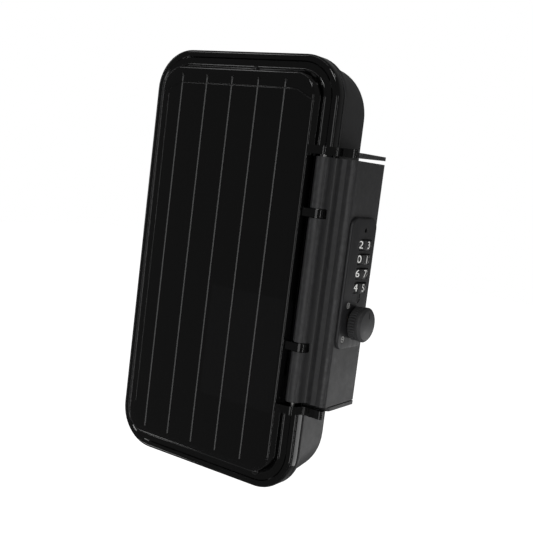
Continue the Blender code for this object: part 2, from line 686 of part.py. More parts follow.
def make_housing():
    low = DIAL_LOW_Z - DIAL_WIDTH / 2 - HOUSING_ROOM[0]
    high = DIAL_TOP_Z + DIAL_WIDTH / 2 + HOUSING_ROOM[1]
    half = DIAL_RADIUS + HOUSING_SIDE_ROOM
    x = (HOUSING_X - HOUSING_DEPTH, HOUSING_X)
    side = half + HOUSING_WALL
    housing = box("lock_housing", x, (DIAL_OUT - side, DIAL_OUT + side),
                  (low - HOUSING_CHEEK, high + HOUSING_CHEEK), BLACK_METAL)
    tab_length, tab_thickness = HOUSING_TAB
    join(housing, box("housing_tab", (HOUSING_X - tab_thickness, HOUSING_X),
                      (DIAL_OUT - DIAL_RADIUS, DIAL_OUT + DIAL_RADIUS),
                      (high, high + HOUSING_CHEEK + tab_length), BLACK_METAL, CUTTERS))
    cut(housing, box("dial_room", (x[0] - CUT_OVERSHOOT, x[1] + CUT_OVERSHOOT),
                     (DIAL_OUT - half, DIAL_OUT + half), (low, high), STEEL, CUTTERS))
    middle = (low + high) / 2
    cut(housing, rod("arbor_bore", ARBOR_RADIUS + GAP, (DIAL_X, DIAL_OUT, middle),
                     high - low + 4 * HOUSING_CHEEK, "Z", STEEL, CUTTERS, 16))
    for z, out in LOCK_SCREWS[:2]:
        cut(housing, rod("tab_hole", SCREW_SHANK + GAP, (HOUSING_X, out, z),
                         SIDE_CUT, "X", STEEL, CUTTERS, 12))
    arbor = rod("dial_arbor", ARBOR_RADIUS, (DIAL_X, DIAL_OUT, middle),
                high - low + 2 * HOUSING_CHEEK - GAP, "Z", STEEL, None, 16)
    spring_out = DIAL_OUT - half + GAP
    spring_x = min(DIAL_X, FLAP_INNER_X - GAP - SPRING_WIDTH / 2)
    spring = box("detent_spring", (spring_x - SPRING_WIDTH / 2, spring_x + SPRING_WIDTH / 2),
                 (spring_out, spring_out + SPRING_THICKNESS), (low + GAP, high - GAP), STEEL)
    return [housing, arbor, spring]


def make_dials():
    dials = []
    for number, z in enumerate(dial_heights(), 1):
        half = DIAL_WIDTH / 2
        bore = ARBOR_RADIUS + GAP
        profile = [
            (bore, half),
            (DIAL_RADIUS - DIAL_CHAMFER, half),
            (DIAL_RADIUS, half - DIAL_CHAMFER),
            (DIAL_RADIUS, DIAL_CHAMFER - half),
            (DIAL_RADIUS - DIAL_CHAMFER, -half),
            (bore, -half),
            (bore, half),
        ]
        place = Matrix.Translation((DIAL_X, -DIAL_OUT, z))
        dials.append(turned(f"dial_{number}", profile, place, BLACK_METAL, DIAL_FACES))
    return dials


def knob_frame(x):
    """A turned piece's own axis laid along X on the knob's axis."""
    return Matrix.Translation((x, -KNOB_OUT, KNOB_Z)) @ TURN["X"]


def make_knob():
    knob_x = PLATE_X + KNOB_STANDOFF
    cap = KNOB_LENGTH - KNOB_CAP_ROUND
    bore = SPINDLE_RADIUS + GAP
    skirt_radius, skirt_length = KNOB_SKIRT
    round_edge = arc((KNOB_RADIUS - KNOB_CAP_ROUND, cap), KNOB_CAP_ROUND, 90, 0, 4)
    profile = [
        (0.0, KNOB_LENGTH + KNOB_CROWN),
        *round_edge,
        (KNOB_RADIUS, skirt_length + GAP),
        (skirt_radius, skirt_length),
        (skirt_radius, 0.0),
        (bore, 0.0),
        (bore, KNOB_BORE_DEPTH),
        (0.0, KNOB_BORE_DEPTH),
    ]
    knob = turned("knob", profile, knob_frame(knob_x), BLACK_PLASTIC, 32)
    cam_rear = CAM_X - CAM_THICKNESS
    spindle_end = knob_x + KNOB_BORE_DEPTH - GAP
    length = spindle_end - cam_rear + GAP
    screw_radius, screw_length = CAM_SCREW_SHANK
    spindle_profile = [
        (0.0, length),
        (SPINDLE_RADIUS, length),
        (SPINDLE_RADIUS, 0.0),
        (screw_radius + GAP, 0.0),
        (screw_radius + GAP, screw_length + GAP),
        (0.0, screw_length + GAP),
    ]
    spindle = turned("knob_spindle", spindle_profile, knob_frame(cam_rear - GAP), STEEL, 20)
    half = CAM_WIDTH / 2
    tip = KNOB_OUT - CAM_LENGTH
    points = [
        *arc((KNOB_OUT, KNOB_Z), half + CAM_ROUND, -60, 60, 8),
        (KNOB_OUT, KNOB_Z + half),
        (tip + CAM_ROUND, KNOB_Z + half),
        (tip, KNOB_Z + half - CAM_ROUND),
        (tip, KNOB_Z - half + CAM_ROUND),
        (tip + CAM_ROUND, KNOB_Z - half),
        (KNOB_OUT, KNOB_Z - half),
    ]
    cam = outline("lock_cam", points, cam_rear, CAM_X, "X", STEEL)
    cut(cam, rod("cam_hole", SPINDLE_RADIUS + GAP, (CAM_X, KNOB_OUT, KNOB_Z),
                 SIDE_CUT, "X", STEEL, CUTTERS, 20))
    head_radius, head_height = CAM_SCREW_HEAD
    screw_profile = [
        (0.0, screw_length),
        (screw_radius, screw_length),
        (screw_radius, 0.0),
        (head_radius, 0.0),
        (head_radius, -head_height),
        (0.0, -head_height),
    ]
    screw = turned("cam_screw", screw_profile, knob_frame(cam_rear - 2 * GAP), STEEL, 16)
    return [knob, spindle, cam, screw]


def make_bushing():
    low = HOUSING_X - NUT_THICKNESS - BUSHING_BEHIND_NUT
    high = PLATE_X + KNOB_STANDOFF - GAP
    bore = SPINDLE_RADIUS + GAP
    profile = [
        (bore, high - low), (BUSHING_RADIUS, high - low), (BUSHING_RADIUS, 0.0), (bore, 0.0),
        (bore, high - low),
    ]
    bushing = turned("knob_bushing", profile, knob_frame(low), BRASS, 24)
    nut = rod("bushing_nut", NUT_RADIUS,
              (HOUSING_X - NUT_THICKNESS / 2, KNOB_OUT, KNOB_Z), NUT_THICKNESS, "X", BRASS,
              None, 6)
    cut(nut, rod("nut_hole", BUSHING_RADIUS + GAP, (HOUSING_X, KNOB_OUT, KNOB_Z),
                 SIDE_CUT, "X", STEEL, CUTTERS))
    return [bushing, nut]


def screw(name, head_x, out, z, length, towards):
    """A pan-head screw whose head's underside is at head_x; its shank points towards +X or -X."""
    head_radius, head_height = SCREW_HEAD
    profile = [
        (0.0, head_height),
        (0.7 * head_radius, head_height),
        (head_radius, 0.5 * head_height),
        (head_radius, 0.0),
        (SCREW_SHANK, 0.0),
        (SCREW_SHANK, -length),
        (0.0, -length),
    ]
    turn = Matrix.Rotation(-towards * math.pi / 2, 4, "Y")
    return turned(name, profile, Matrix.Translation((head_x, -out, z)) @ turn, STEEL, 12)


def make_lock_screws():
    tip = FLAP_X + PLATE_THICKNESS - SCREW_TIP_COVER
    made = []
    for number, (z, out) in enumerate(LOCK_SCREWS, 1):
        seat = FLAP_INNER_X - GAP
        if number < len(LOCK_SCREWS):
            seat = HOUSING_X - HOUSING_TAB[1] - GAP
        made.append(screw(f"lock_screw_{number}", seat, out, z, tip - seat, 1))
    return made


def strike_top():
    return KNOB_Z - CAM_LENGTH + STRIKE_OVERLAP


def strike_leg():
    return KNOB_Z - CAM_LENGTH - STRIKE_TIP_ROOM


def strike_screw_places():
    foot_low = strike_leg() - STRIKE_PLATE - STRIKE_FOOT
    return [foot_low + height for height in STRIKE_SCREWS]


def make_strike():
    """A folded hook: a foot on the box's side, a leg, and a lip that the cam goes behind."""
    side = SIDE_X + GAP
    lip_x = CAM_X + RUNNING_GAP
    leg = strike_leg()
    under_rim = BASE_RIM_OUT - BASE_RIM_LIP - BASE_DRAFT - GAP
    out = (KNOB_OUT - STRIKE_WIDTH / 2, min(KNOB_OUT + STRIKE_WIDTH / 2, under_rim))
    strike = box("strike", (side, side + STRIKE_PLATE), out,
                 (leg - STRIKE_PLATE - STRIKE_FOOT, leg), STEEL)
    join(
        strike,
        box("strike_leg", (side, lip_x + STRIKE_PLATE), out, (leg - STRIKE_PLATE, leg),
            STEEL, CUTTERS),
        box("strike_lip", (lip_x, lip_x + STRIKE_PLATE), out,
            (leg - STRIKE_PLATE, strike_top()), STEEL, CUTTERS),
    )
    for number, z in enumerate(strike_screw_places(), 1):
        cut(strike, rod("strike_bore", SCREW_SHANK + GAP, (side, KNOB_OUT, z),
                        SIDE_CUT, "X", STEEL, CUTTERS, 12))
        screw(f"strike_screw_{number}", side + STRIKE_PLATE + GAP, KNOB_OUT, z,
              STRIKE_SCREW_LENGTH, -1)


def pivot(name, centre, parent=None):
    """An empty on a joint's axis at (x, out, z)."""
    empty = bpy.data.objects.new(name, None)
    empty.empty_display_size = PIVOT_DISPLAY
    PARTS.objects.link(empty)
    empty.location = (centre[0], -centre[1], centre[2])
    bpy.context.view_layer.update()
    if parent:
        attach(parent, [empty])
    return empty


def attach(parent, items):
    for item in items:
        item.parent = parent
        item.matrix_parent_inverse = parent.matrix_world.inverted()
    bpy.context.view_layer.update()


def main():
    make_base()
    make_base_ears()
    make_seals()
    make_strike()
    cover_axis = pivot("cover_axis", (HINGE_X, HINGE_OUT, 0.0))
    cover = make_cover()
    flap_pin = make_pins()
    attach(cover_axis, [cover, flap_pin])
    flap_axis = pivot("flap_axis", (BARREL_X, BARREL_OUT, 0.0), cover_axis)
    attach(flap_axis, [make_flap(), make_plate(), *make_housing(), *make_bushing(),
                       *make_lock_screws()])
    attach(flap_axis, make_dials())
    knob_axis = pivot("knob_axis", (PLATE_X, KNOB_OUT, KNOB_Z), flap_axis)
    attach(knob_axis, make_knob())
    bpy.context.view_layer.update()


main()
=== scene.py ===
"""The finished look of a lockable outlet cover box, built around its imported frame.

Places are in metres: X runs across the front, Z is up, and "out" is the distance in front of
the wall, so y = -out.
"""

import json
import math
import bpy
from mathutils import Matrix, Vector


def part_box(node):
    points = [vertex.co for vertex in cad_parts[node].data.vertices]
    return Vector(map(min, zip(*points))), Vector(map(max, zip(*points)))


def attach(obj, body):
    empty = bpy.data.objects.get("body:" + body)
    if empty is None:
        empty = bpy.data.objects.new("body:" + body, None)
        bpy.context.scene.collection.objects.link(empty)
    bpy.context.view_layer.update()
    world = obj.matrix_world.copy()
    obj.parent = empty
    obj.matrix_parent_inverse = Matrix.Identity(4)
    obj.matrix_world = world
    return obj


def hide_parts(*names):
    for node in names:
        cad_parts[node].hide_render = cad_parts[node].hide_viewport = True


bl_info = {
    "name": "Lockable outlet cover box",
    "version": (1, 0, 0),
    "blender": (4, 5, 0),
    "location": "View3D > Sidebar > Cover Box",
    "description": "Builds the detailed tray, lid, lock flap and dial lock of a cover box",
    "category": "Object",
}

import bmesh
import bpy
from mathutils import Matrix, Vector

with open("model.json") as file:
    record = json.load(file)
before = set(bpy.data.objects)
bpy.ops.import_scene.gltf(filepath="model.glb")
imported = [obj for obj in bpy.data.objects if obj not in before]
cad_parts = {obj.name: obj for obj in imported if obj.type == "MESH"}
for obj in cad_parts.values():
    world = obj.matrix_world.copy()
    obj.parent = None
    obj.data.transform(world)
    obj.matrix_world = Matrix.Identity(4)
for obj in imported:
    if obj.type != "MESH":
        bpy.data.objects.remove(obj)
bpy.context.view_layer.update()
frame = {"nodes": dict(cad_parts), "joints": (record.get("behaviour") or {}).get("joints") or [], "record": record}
JOINT_AT = {joint["name"]: joint["pos_m"] for joint in frame["joints"]}

MM = 0.001
SHARP_ANGLE = math.radians(32)
LID_SHARP = math.radians(20)
GROOVE_SLOPE = math.radians(28)
CORNER_STEPS = 14
ROUND_STEPS = 5
LINE_COUNT = 5
FLOOR_Z = -0.7
NUMERALS = "0123456789"


def span(node, axis):
    """The lowest and highest value of a frame node along an axis."""
    low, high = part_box(node)
    return low[axis], high[axis]


def centre_of(node, axis):
    return sum(span(node, axis)) / 2


def half_of(node, axis):
    """Half of a frame node's extent along an axis."""
    low, high = span(node, axis)
    return (high - low) / 2


HALF_HEIGHT = span("cover", 2)[1]
LID_OUT = -span("cover", 1)[0]
SEAL_GAP, SEAL_INSET = 0.25 * MM, 0.6 * MM
TRAY_OUT = -span("cover_gasket", 1)[1] - SEAL_GAP
LID_REAR = -span("cover_gasket", 1)[0] + SEAL_GAP
HALF_WIDTH = span("cover_gasket", 0)[1] + SEAL_INSET
FLAP_X = span("lock_flap", 0)[1]
FLAP_LOW, FLAP_HIGH = span("lock_flap", 2)
PLATE_X = span("lock_plate", 0)
BARREL_X, BARREL_OUT = JOINT_AT["flap_hinge"][0], -JOINT_AT["flap_hinge"][1]
HINGE_X, HINGE_OUT = JOINT_AT["cover_hinge"][0], -JOINT_AT["cover_hinge"][1]
KNOB_OUT, KNOB_Z = -JOINT_AT["knob_turn"][1], JOINT_AT["knob_turn"][2]
HINGE_Z, HINGE_HALF = centre_of("hinge_pin_upper", 2), half_of("hinge_pin_upper", 2)
DIAL_X, DIAL_OUT = centre_of("dial_1", 0), -centre_of("dial_1", 1)
DIAL_RADIUS = half_of("dial_1", 0)
GAP = 0.3 * MM

# Sizes that more than one piece follows; the bores and holes are radii.
SIDE_INSET = 1.0 * MM
HINGE_RADIUS, HINGE_BORE = 3.2 * MM, 1.55 * MM
LID_KNUCKLE_HALF = 9.0 * MM
PIN_BORE = 1.3 * MM
BUSHING_HOLE = 4.9 * MM
LOCK_SCREW_HOLE = 1.5 * MM


def length(name, description, default):
    return bpy.props.FloatProperty(
        name=name, description=description, default=default, subtype="DISTANCE", unit="LENGTH"
    )


def colour(name, description, default):
    return bpy.props.FloatVectorProperty(
        name=name, description=description, default=default, subtype="COLOR", size=3,
        min=0.0, max=1.0,
    )


class BoxSizes(bpy.types.PropertyGroup):
    corner: length("Corner radius", "Radius of the lid's outer corners", 20 * MM)
    rear_corner: length("Rear corner radius", "Radius of the tray's rear corners", 25 * MM)
    flange: length("Flange width", "Width of the lid's flat border", 7.5 * MM)
    panel_draft: length("Panel draft", "How far the raised panel's side leans in", 2 * MM)
    flange_out: length("Flange height", "Distance of the lid's border from the wall", 30 * MM)
    lid_wall: length("Lid wall", "Thickness of the lid", 2 * MM)
    tray_wall: length("Tray wall", "Thickness of the tray", 2.5 * MM)
    line_pitch: length("Groove pitch", "Distance between the panel's grooves", 15.3 * MM)
    line_shift: length("Groove shift", "Sideways shift of the middle groove", -1.8 * MM)
    line_length: length("Groove length", "Length of each groove", 180.5 * MM)
    line_width: length("Groove width", "Width of each groove", 1.0 * MM)
    gang_pitch: length("Gang pitch", "Distance between the two outlets", 91 * MM)
    knurl_depth: length("Knurl depth", "Depth of the knob's grip", 0.45 * MM)
    numeral: length("Numeral size", "Size of the figures on the dials", 5.0 * MM)


class BoxFinish(bpy.types.PropertyGroup):
    shell: colour("Shell", "Colour of the matte mouldings", (0.0115, 0.0115, 0.012))
    smoke: colour("Smoke", "Tint of the lid", (0.0012, 0.0012, 0.0013))
    lock: colour("Lock", "Colour of the lock plate", (0.016, 0.016, 0.017))
    steel: colour("Steel", "Colour of the bright metal", (0.56, 0.56, 0.55))
    brass: colour("Brass", "Colour of the bushing", (0.62, 0.46, 0.22))
    rubber: colour("Rubber", "Colour of the seals", (0.022, 0.022, 0.023))
    paint: colour("Numerals", "Colour of the printed figures", (0.72, 0.72, 0.70))
    floor: colour("Floor", "Colour of the floor", (0.92, 0.92, 0.92))


# ---------------------------------------------------------------- outlines and meshes


def arc(centre, radius, start, end, steps):
    angles = [math.radians(start + (end - start) * i / steps) for i in range(steps + 1)]
    return [(centre[0] + radius * math.cos(a), centre[1] + radius * math.sin(a)) for a in angles]


def rounded(points, closed=True, steps=ROUND_STEPS):
    """An outline whose corners (u, v, radius) are turned into arcs."""
    made = []
    count = len(points)
    for i, (u, v, radius) in enumerate(points):
        here = Vector((u, v))
        if radius <= 0 or (not closed and i in (0, count - 1)):
            made.append((u, v))
            continue
        back = Vector(points[i - 1][:2]) - here
        ahead = Vector(points[(i + 1) % count][:2]) - here
        half = back.angle(ahead) / 2
        if half > math.radians(88.5):
            made.append((u, v))
            continue
        reach = min(radius / math.tan(half), 0.48 * back.length, 0.48 * ahead.length)
        bisector = (back.normalized() + ahead.normalized()).normalized()
        centre = here + bisector * (reach / math.cos(half))
        first = here + back.normalized() * reach - centre
        last = here + ahead.normalized() * reach - centre
        turn = first.angle_signed(last)
        for k in range(steps + 1):
            point = first.copy()
            point.rotate(Matrix.Rotation(-turn * k / steps, 2))
            made.append(tuple(centre + point))
    return made


def rounded_rectangle(half_w, half_h, radius, centre=(0.0, 0.0), steps=CORNER_STEPS):
    points = []
    for turn, (sx, sy) in enumerate(((1, 1), (-1, 1), (-1, -1), (1, -1))):
        corner = (centre[0] + sx * (half_w - radius), centre[1] + sy * (half_h - radius))
        points += arc(corner, radius, 90 * turn, 90 * turn + 90, steps)
    return points


FACING = {
    "X": lambda u, v, w: (w, -u, v),
    "Y": lambda u, v, w: (u, -w, v),
    "Z": lambda u, v, w: (u, -v, w),
}


def shade(mesh):
    mesh.shade_smooth()
    mesh.set_sharp_from_angle(angle=SHARP_ANGLE)


def add_object(name, data):
    made = bpy.data.objects.new(name, data)
    bpy.context.scene.collection.objects.link(made)
    return made


def evaluated_mesh(item):
    """The mesh that an object's modifiers or text settings give."""
    graph = bpy.context.evaluated_depsgraph_get()
    return bpy.data.meshes.new_from_object(item.evaluated_get(graph))


def piece(name, build, finish):
    """A new object whose mesh comes from a function that fills a bmesh."""
    shape = bmesh.new()
    build(shape)
    bmesh.ops.recalc_face_normals(shape, faces=shape.faces)
    mesh = bpy.data.meshes.new(name)
    shape.to_mesh(mesh)
    shape.free()
    shade(mesh)
    mesh.materials.append(finish)
    return add_object(name, mesh)


def loft(name, rings, finish):
    """A closed solid through rings of points, with a face over its first and last ring."""

    def build(shape):
        loops = [[shape.verts.new(point) for point in ring] for ring in rings]
        for lower, upper in zip(loops, loops[1:]):
            for i in range(len(lower)):
                j = (i + 1) % len(lower)
                shape.faces.new((lower[i], lower[j], upper[j], upper[i]))
        shape.faces.new(loops[0])
        shape.faces.new(loops[-1])

    return piece(name, build, finish)


def prism(name, outline, low, high, facing, finish):
    place = FACING[facing]
    rings = [[place(u, v, w) for u, v in outline] for w in (low, high)]
    return loft(name, rings, finish)


def block(name, x, out, z, finish):
    outline = [(x[0], out[0]), (x[1], out[0]), (x[1], out[1]), (x[0], out[1])]
    return prism(name, outline, z[0], z[1], "Z", finish)


def across(centre, facing):
    """A place (x, out, z) as (u, v) in the facing plane and w along the facing axis."""
    x, out, z = centre
    return {"X": (out, z, x), "Y": (x, z, out), "Z": (x, out, z)}[facing]


def rod(name, radius, centre, tall, facing, finish, steps=40):
    """A cylinder centred on (x, out, z), along the facing axis."""
    u, v, w = across(centre, facing)
    outline = arc((u, v), radius, 0, 360, steps)[:-1]
    return prism(name, outline, w - tall / 2, w + tall / 2, facing, finish)


def turned(name, profile, centre, facing, finish, steps=48, ripple=None):
    """A turned solid: (radius, distance along the axis) from end to end."""
    u, v, w = across(centre, facing)
    place = FACING[facing]
    rings = []
    for number, (radius, along) in enumerate(profile):
        ring = []
        for i in range(steps):
            angle = 2 * math.pi * i / steps
            r = radius - (ripple(number, angle) if ripple else 0.0)
            ring.append(place(u + r * math.cos(angle), v + r * math.sin(angle), w + along))
        rings.append(ring)
    return loft(name, rings, finish)


def ball(name, radius, centre, finish, steps=16):
    half_turn = [math.pi * i / steps for i in range(steps + 1)]
    profile = [(max(1e-6, radius * math.sin(a)), -radius * math.cos(a)) for a in half_turn]
    return turned(name, profile, centre, "Y", finish, 2 * steps)


def bar(name, path, radius, out, finish, steps=36):
    """A round bar along a path of (x, z) points, all at one distance from the wall."""
    points = [Vector(point) for point in path]
    headings = [(after - before).normalized() for before, after in zip(points, points[1:])]
    rings = []
    for i, point in enumerate(points):
        before, after = headings[max(0, i - 1)], headings[min(i, len(headings) - 1)]
        middle = (before + after).normalized()
        reach = radius / middle.dot(after)
        ring = []
        for k in range(steps):
            angle = 2 * math.pi * k / steps
            side = point + Vector((-middle.y, middle.x)) * reach * math.cos(angle)
            ring.append(FACING["Y"](side.x, side.y, out + radius * math.sin(angle)))
        rings.append(ring)
    return loft(name, rings, finish)


def combine(target, tools, operation):
    """Joins tools to target, or cuts them from it, and removes them."""
    for tool in tools:
        step = target.modifiers.new("Combine", "BOOLEAN")
        step.operation = operation
        step.object = tool
        step.solver = "MANIFOLD"
        mesh = evaluated_mesh(target)
        target.modifiers.clear()
        target.data = mesh
        bpy.data.objects.remove(tool)
    shade(target.data)


def join(target, *tools):
    combine(target, tools, "UNION")


def cut(target, *tools):
    combine(target, tools, "DIFFERENCE")


def soften(item, width, segments=2):
    """Small rounded edges, as a moulded or machined piece has."""
    bevel = item.modifiers.new("Soft edges", "BEVEL")
    bevel.width = width
    bevel.segments = segments
    bevel.limit_method = "ANGLE"
    bevel.angle_limit = SHARP_ANGLE
    bevel.harden_normals = True
    bevel.use_clamp_overlap = True
    return item


def hand_over(item, body, slot, *nodes):
    """The finished piece rides on its body and stands for its frame nodes."""
    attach(item, body)
    if nodes:
        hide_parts(*nodes)


# ---------------------------------------------------------------- shared effects


class Nodes:
    """Short ways to add and link shader nodes in one tree."""

    def __init__(self, tree):
        self.tree = tree

    def add(self, kind, **settings):
        node = self.tree.nodes.new(kind)
        for key, value in settings.items():
            if key in node.inputs:
                node.inputs[key].default_value = value
            else:
                setattr(node, key, value)
        return node

    def math(self, operation, first, second=None, clamp=False):
        node = self.add("ShaderNodeMath", operation=operation, use_clamp=clamp)
        for socket, value in zip(node.inputs, (first, second)):
            self.feed(socket, value)
        return node.outputs[0]

    def feed(self, socket, value):
        if value is None:
            return
        if isinstance(value, bpy.types.NodeSocket):
            self.tree.links.new(value, socket)
        else:
            socket.default_value = value

    def remap(self, value, low, high, to_low=0.0, to_high=1.0):
        node = self.add("ShaderNodeMapRange")
        self.feed(node.inputs["Value"], value)
        for key, number in (("From Min", low), ("From Max", high), ("To Min", to_low),
                            ("To Max", to_high)):
            node.inputs[key].default_value = number
        return node.outputs["Result"]

    def noise(self, coordinates, scale, detail=2.0, rough=0.5):
        node = self.add("ShaderNodeTexNoise", Detail=detail, Roughness=rough)
        self.feed(node.inputs["Scale"], scale)
        self.feed(node.inputs["Vector"], coordinates)
        return node.outputs["Fac"]


def effect_group(name, inputs, outputs):
    tree = bpy.data.node_groups.new(name, "ShaderNodeTree")
    for label, default in inputs:
        socket = tree.interface.new_socket(label, in_out="INPUT", socket_type="NodeSocketFloat")
        socket.default_value = default
    for label in outputs:
        tree.interface.new_socket(label, in_out="OUTPUT", socket_type="NodeSocketFloat")
    made = Nodes(tree)
    return made, made.add("NodeGroupInput").outputs, made.add("NodeGroupOutput").inputs


def grain_group():
    """Moulded grain: fine spark-erosion texture over a faint long wave."""
    made, given, result = effect_group(
        "moulded_grain", (("Scale", 2600.0), ("Wave", 0.25)), ("Height", "Mottle")
    )
    place = made.add("ShaderNodeTexCoord").outputs["Object"]
    fine = made.noise(place, given["Scale"], 3.0, 0.6)
    wave = made.noise(place, 38.0, 2.0)
    made.feed(result["Height"], made.math("ADD", fine, made.math("MULTIPLY", wave, given["Wave"])))
    made.feed(result["Mottle"], made.noise(place, 120.0, 4.0, 0.65))
    return made.tree


def wear_group():
    """Paler handling wear along edges, broken up by noise."""
    made, given, result = effect_group(
        "edge_wear", (("Amount", 0.5), ("Breakup", 420.0)), ("Mask",)
    )
    sharp = made.add("ShaderNodeNewGeometry").outputs["Pointiness"]
    edge = made.remap(sharp, 0.52, 0.60)
    place = made.add("ShaderNodeTexCoord").outputs["Object"]
    broken = made.remap(made.noise(place, given["Breakup"], 4.0, 0.7), 0.42, 0.62)
    worn = made.math("MULTIPLY", edge, broken)
    made.feed(result["Mask"], made.math("MULTIPLY", worn, given["Amount"], clamp=True))
    return made.tree


def dust_group():
    """A thin film of dust on faces that look up."""
    made, given, result = effect_group(
        "dust_film", (("Amount", 0.3), ("Scale", 90.0)), ("Mask",)
    )
    normal = made.add("ShaderNodeSeparateXYZ")
    made.feed(normal.inputs[0], made.add("ShaderNodeNewGeometry").outputs["Normal"])
    up = made.remap(normal.outputs["Z"], 0.25, 1.0)
    place = made.add("ShaderNodeTexCoord").outputs["Object"]
    patchy = made.remap(made.noise(place, given["Scale"], 5.0, 0.7), 0.4, 0.75)
    film = made.math("MULTIPLY", up, patchy)
    made.feed(result["Mask"], made.math("MULTIPLY", film, given["Amount"], clamp=True))
    return made.tree


def turning_group():
    """Fine lines left by rolling or turning, along one object axis."""
    made, given, result = effect_group(
        "drawn_lines", (("Across", 3200.0), ("Along", 60.0)), ("Height", "Streak")
    )
    split = made.add("ShaderNodeSeparateXYZ")
    made.feed(split.inputs[0], made.add("ShaderNodeTexCoord").outputs["Object"])
    whole = made.add("ShaderNodeCombineXYZ")
    for axis, scale in (("X", given["Across"]), ("Y", given["Across"]), ("Z", given["Along"])):
        made.feed(whole.inputs[axis], made.math("MULTIPLY", split.outputs[axis], scale))
    made.feed(result["Height"], made.noise(whole.outputs[0], 1.0, 2.0))
    made.feed(result["Streak"], made.noise(whole.outputs[0], 0.35, 3.0))
    return made.tree


EFFECTS = {}


def effect(made, name, **values):
    node = made.add("ShaderNodeGroup")
    node.node_tree = EFFECTS[name]
    for key, value in values.items():
        node.inputs[key].default_value = value
    return node.outputs


def new_finish(name, base, **sockets):
    """A material with its Principled shader; plain values are set on the shader's sockets."""
    made = bpy.data.materials.new(name)
    made.use_nodes = True
    nodes = Nodes(made.node_tree)
    shader = made.node_tree.nodes["Principled BSDF"]
    shader.inputs["Base Color"].default_value = (*base, 1.0)
    for key, value in sockets.items():
        shader.inputs[key].default_value = value
    return made, nodes, shader


def mixed(nodes, mask, first, second):
    node = nodes.add("ShaderNodeMix", data_type="RGBA")
    nodes.feed(node.inputs["Factor"], mask)
    nodes.feed(node.inputs["A"], (*first, 1.0) if isinstance(first, tuple) else first)
    nodes.feed(node.inputs["B"], (*second, 1.0) if isinstance(second, tuple) else second)
    return node.outputs["Result"]


def bumped(nodes, shader, height, strength, distance):
    bump = nodes.add("ShaderNodeBump", Strength=strength, Distance=distance)
    nodes.feed(bump.inputs["Height"], height)
    nodes.feed(shader.inputs["Normal"], bump.outputs["Normal"])


def tinted(base, factor):
    return tuple(min(1.0, channel * factor) for channel in base)


def moulded(name, base, rough, grain=2600.0, bump=0.25, wear=0.5, dust=0.25):
    """Moulded plastic or rubber: mottled colour, fine grain, worn edges and a little dust."""
    made, nodes, shader = new_finish(name, base, IOR=1.5)
    texture = effect(nodes, "moulded_grain", Scale=grain)
    worn = effect(nodes, "edge_wear", Amount=wear)["Mask"]
    dusty = effect(nodes, "dust_film", Amount=dust)["Mask"]
    shade_mix = mixed(nodes, texture["Mottle"], tinted(base, 0.8), tinted(base, 1.25))
    shade_mix = mixed(nodes, worn, shade_mix, tinted(base, 5.0))
    shade_mix = mixed(nodes, dusty, shade_mix, (0.10, 0.098, 0.094))
    nodes.feed(shader.inputs["Base Color"], shade_mix)
    uneven = nodes.remap(texture["Mottle"], 0.3, 0.7, rough - 0.05, rough + 0.06)
    nodes.feed(shader.inputs["Roughness"], nodes.math("ADD", uneven,
                                                      nodes.math("MULTIPLY", dusty, 0.3)))
    bumped(nodes, shader, texture["Height"], bump, 0.05 * MM)
    return made


def smoked(name, tint):
    """Polished dark transparent plastic with faint moulding waves and hairline marks."""
    made, nodes, shader = new_finish(
        name, tint, IOR=1.49, **{"Transmission Weight": 0.9, "Specular IOR Level": 0.5}
    )
    texture = effect(nodes, "moulded_grain", Scale=300.0, Wave=1.0)
    marks = effect(nodes, "drawn_lines", Across=900.0, Along=14.0)
    dusty = effect(nodes, "dust_film", Amount=0.12)["Mask"]
    rough = nodes.remap(texture["Mottle"], 0.3, 0.75, 0.035, 0.075)
    hair = nodes.remap(marks["Streak"], 0.66, 0.72, 0.0, 0.05)
    rough = nodes.math("ADD", rough, hair)
    nodes.feed(shader.inputs["Roughness"],
               nodes.math("ADD", rough, nodes.math("MULTIPLY", dusty, 0.5)))
    bumped(nodes, shader, texture["Height"], 0.03, 0.1 * MM)
    return made


def metal(name, base, rough, metallic=1.0, lines=3200.0, wear=0.4):
    """Plated, turned or coated metal with drawn lines, tarnish and worn edges."""
    made, nodes, shader = new_finish(name, base, Metallic=metallic)
    drawn = effect(nodes, "drawn_lines", Across=lines)
    texture = effect(nodes, "moulded_grain", Scale=1500.0)
    worn = effect(nodes, "edge_wear", Amount=wear)["Mask"]
    shade_mix = mixed(nodes, texture["Mottle"], tinted(base, 0.78), tinted(base, 1.12))
    brighter = tinted(base, 1.3) if metallic > 0.9 else tinted(base, 6.0)
    nodes.feed(shader.inputs["Base Color"], mixed(nodes, worn, shade_mix, brighter))
    nodes.feed(shader.inputs["Roughness"],
               nodes.remap(drawn["Streak"], 0.3, 0.7, rough - 0.08, rough + 0.1))
    bumped(nodes, shader, drawn["Height"], 0.12, 0.03 * MM)
    return made


def printed(name, base):
    """Thin printed paint, slightly uneven."""
    made, nodes, shader = new_finish(name, base)
    texture = effect(nodes, "moulded_grain", Scale=1800.0)
    nodes.feed(shader.inputs["Base Color"],
               mixed(nodes, texture["Mottle"], tinted(base, 0.72), base))
    nodes.feed(shader.inputs["Roughness"],
               nodes.remap(texture["Mottle"], 0.3, 0.7, 0.45, 0.6))
    bumped(nodes, shader, texture["Height"], 0.1, 0.02 * MM)
    return made


FINISHES = {}


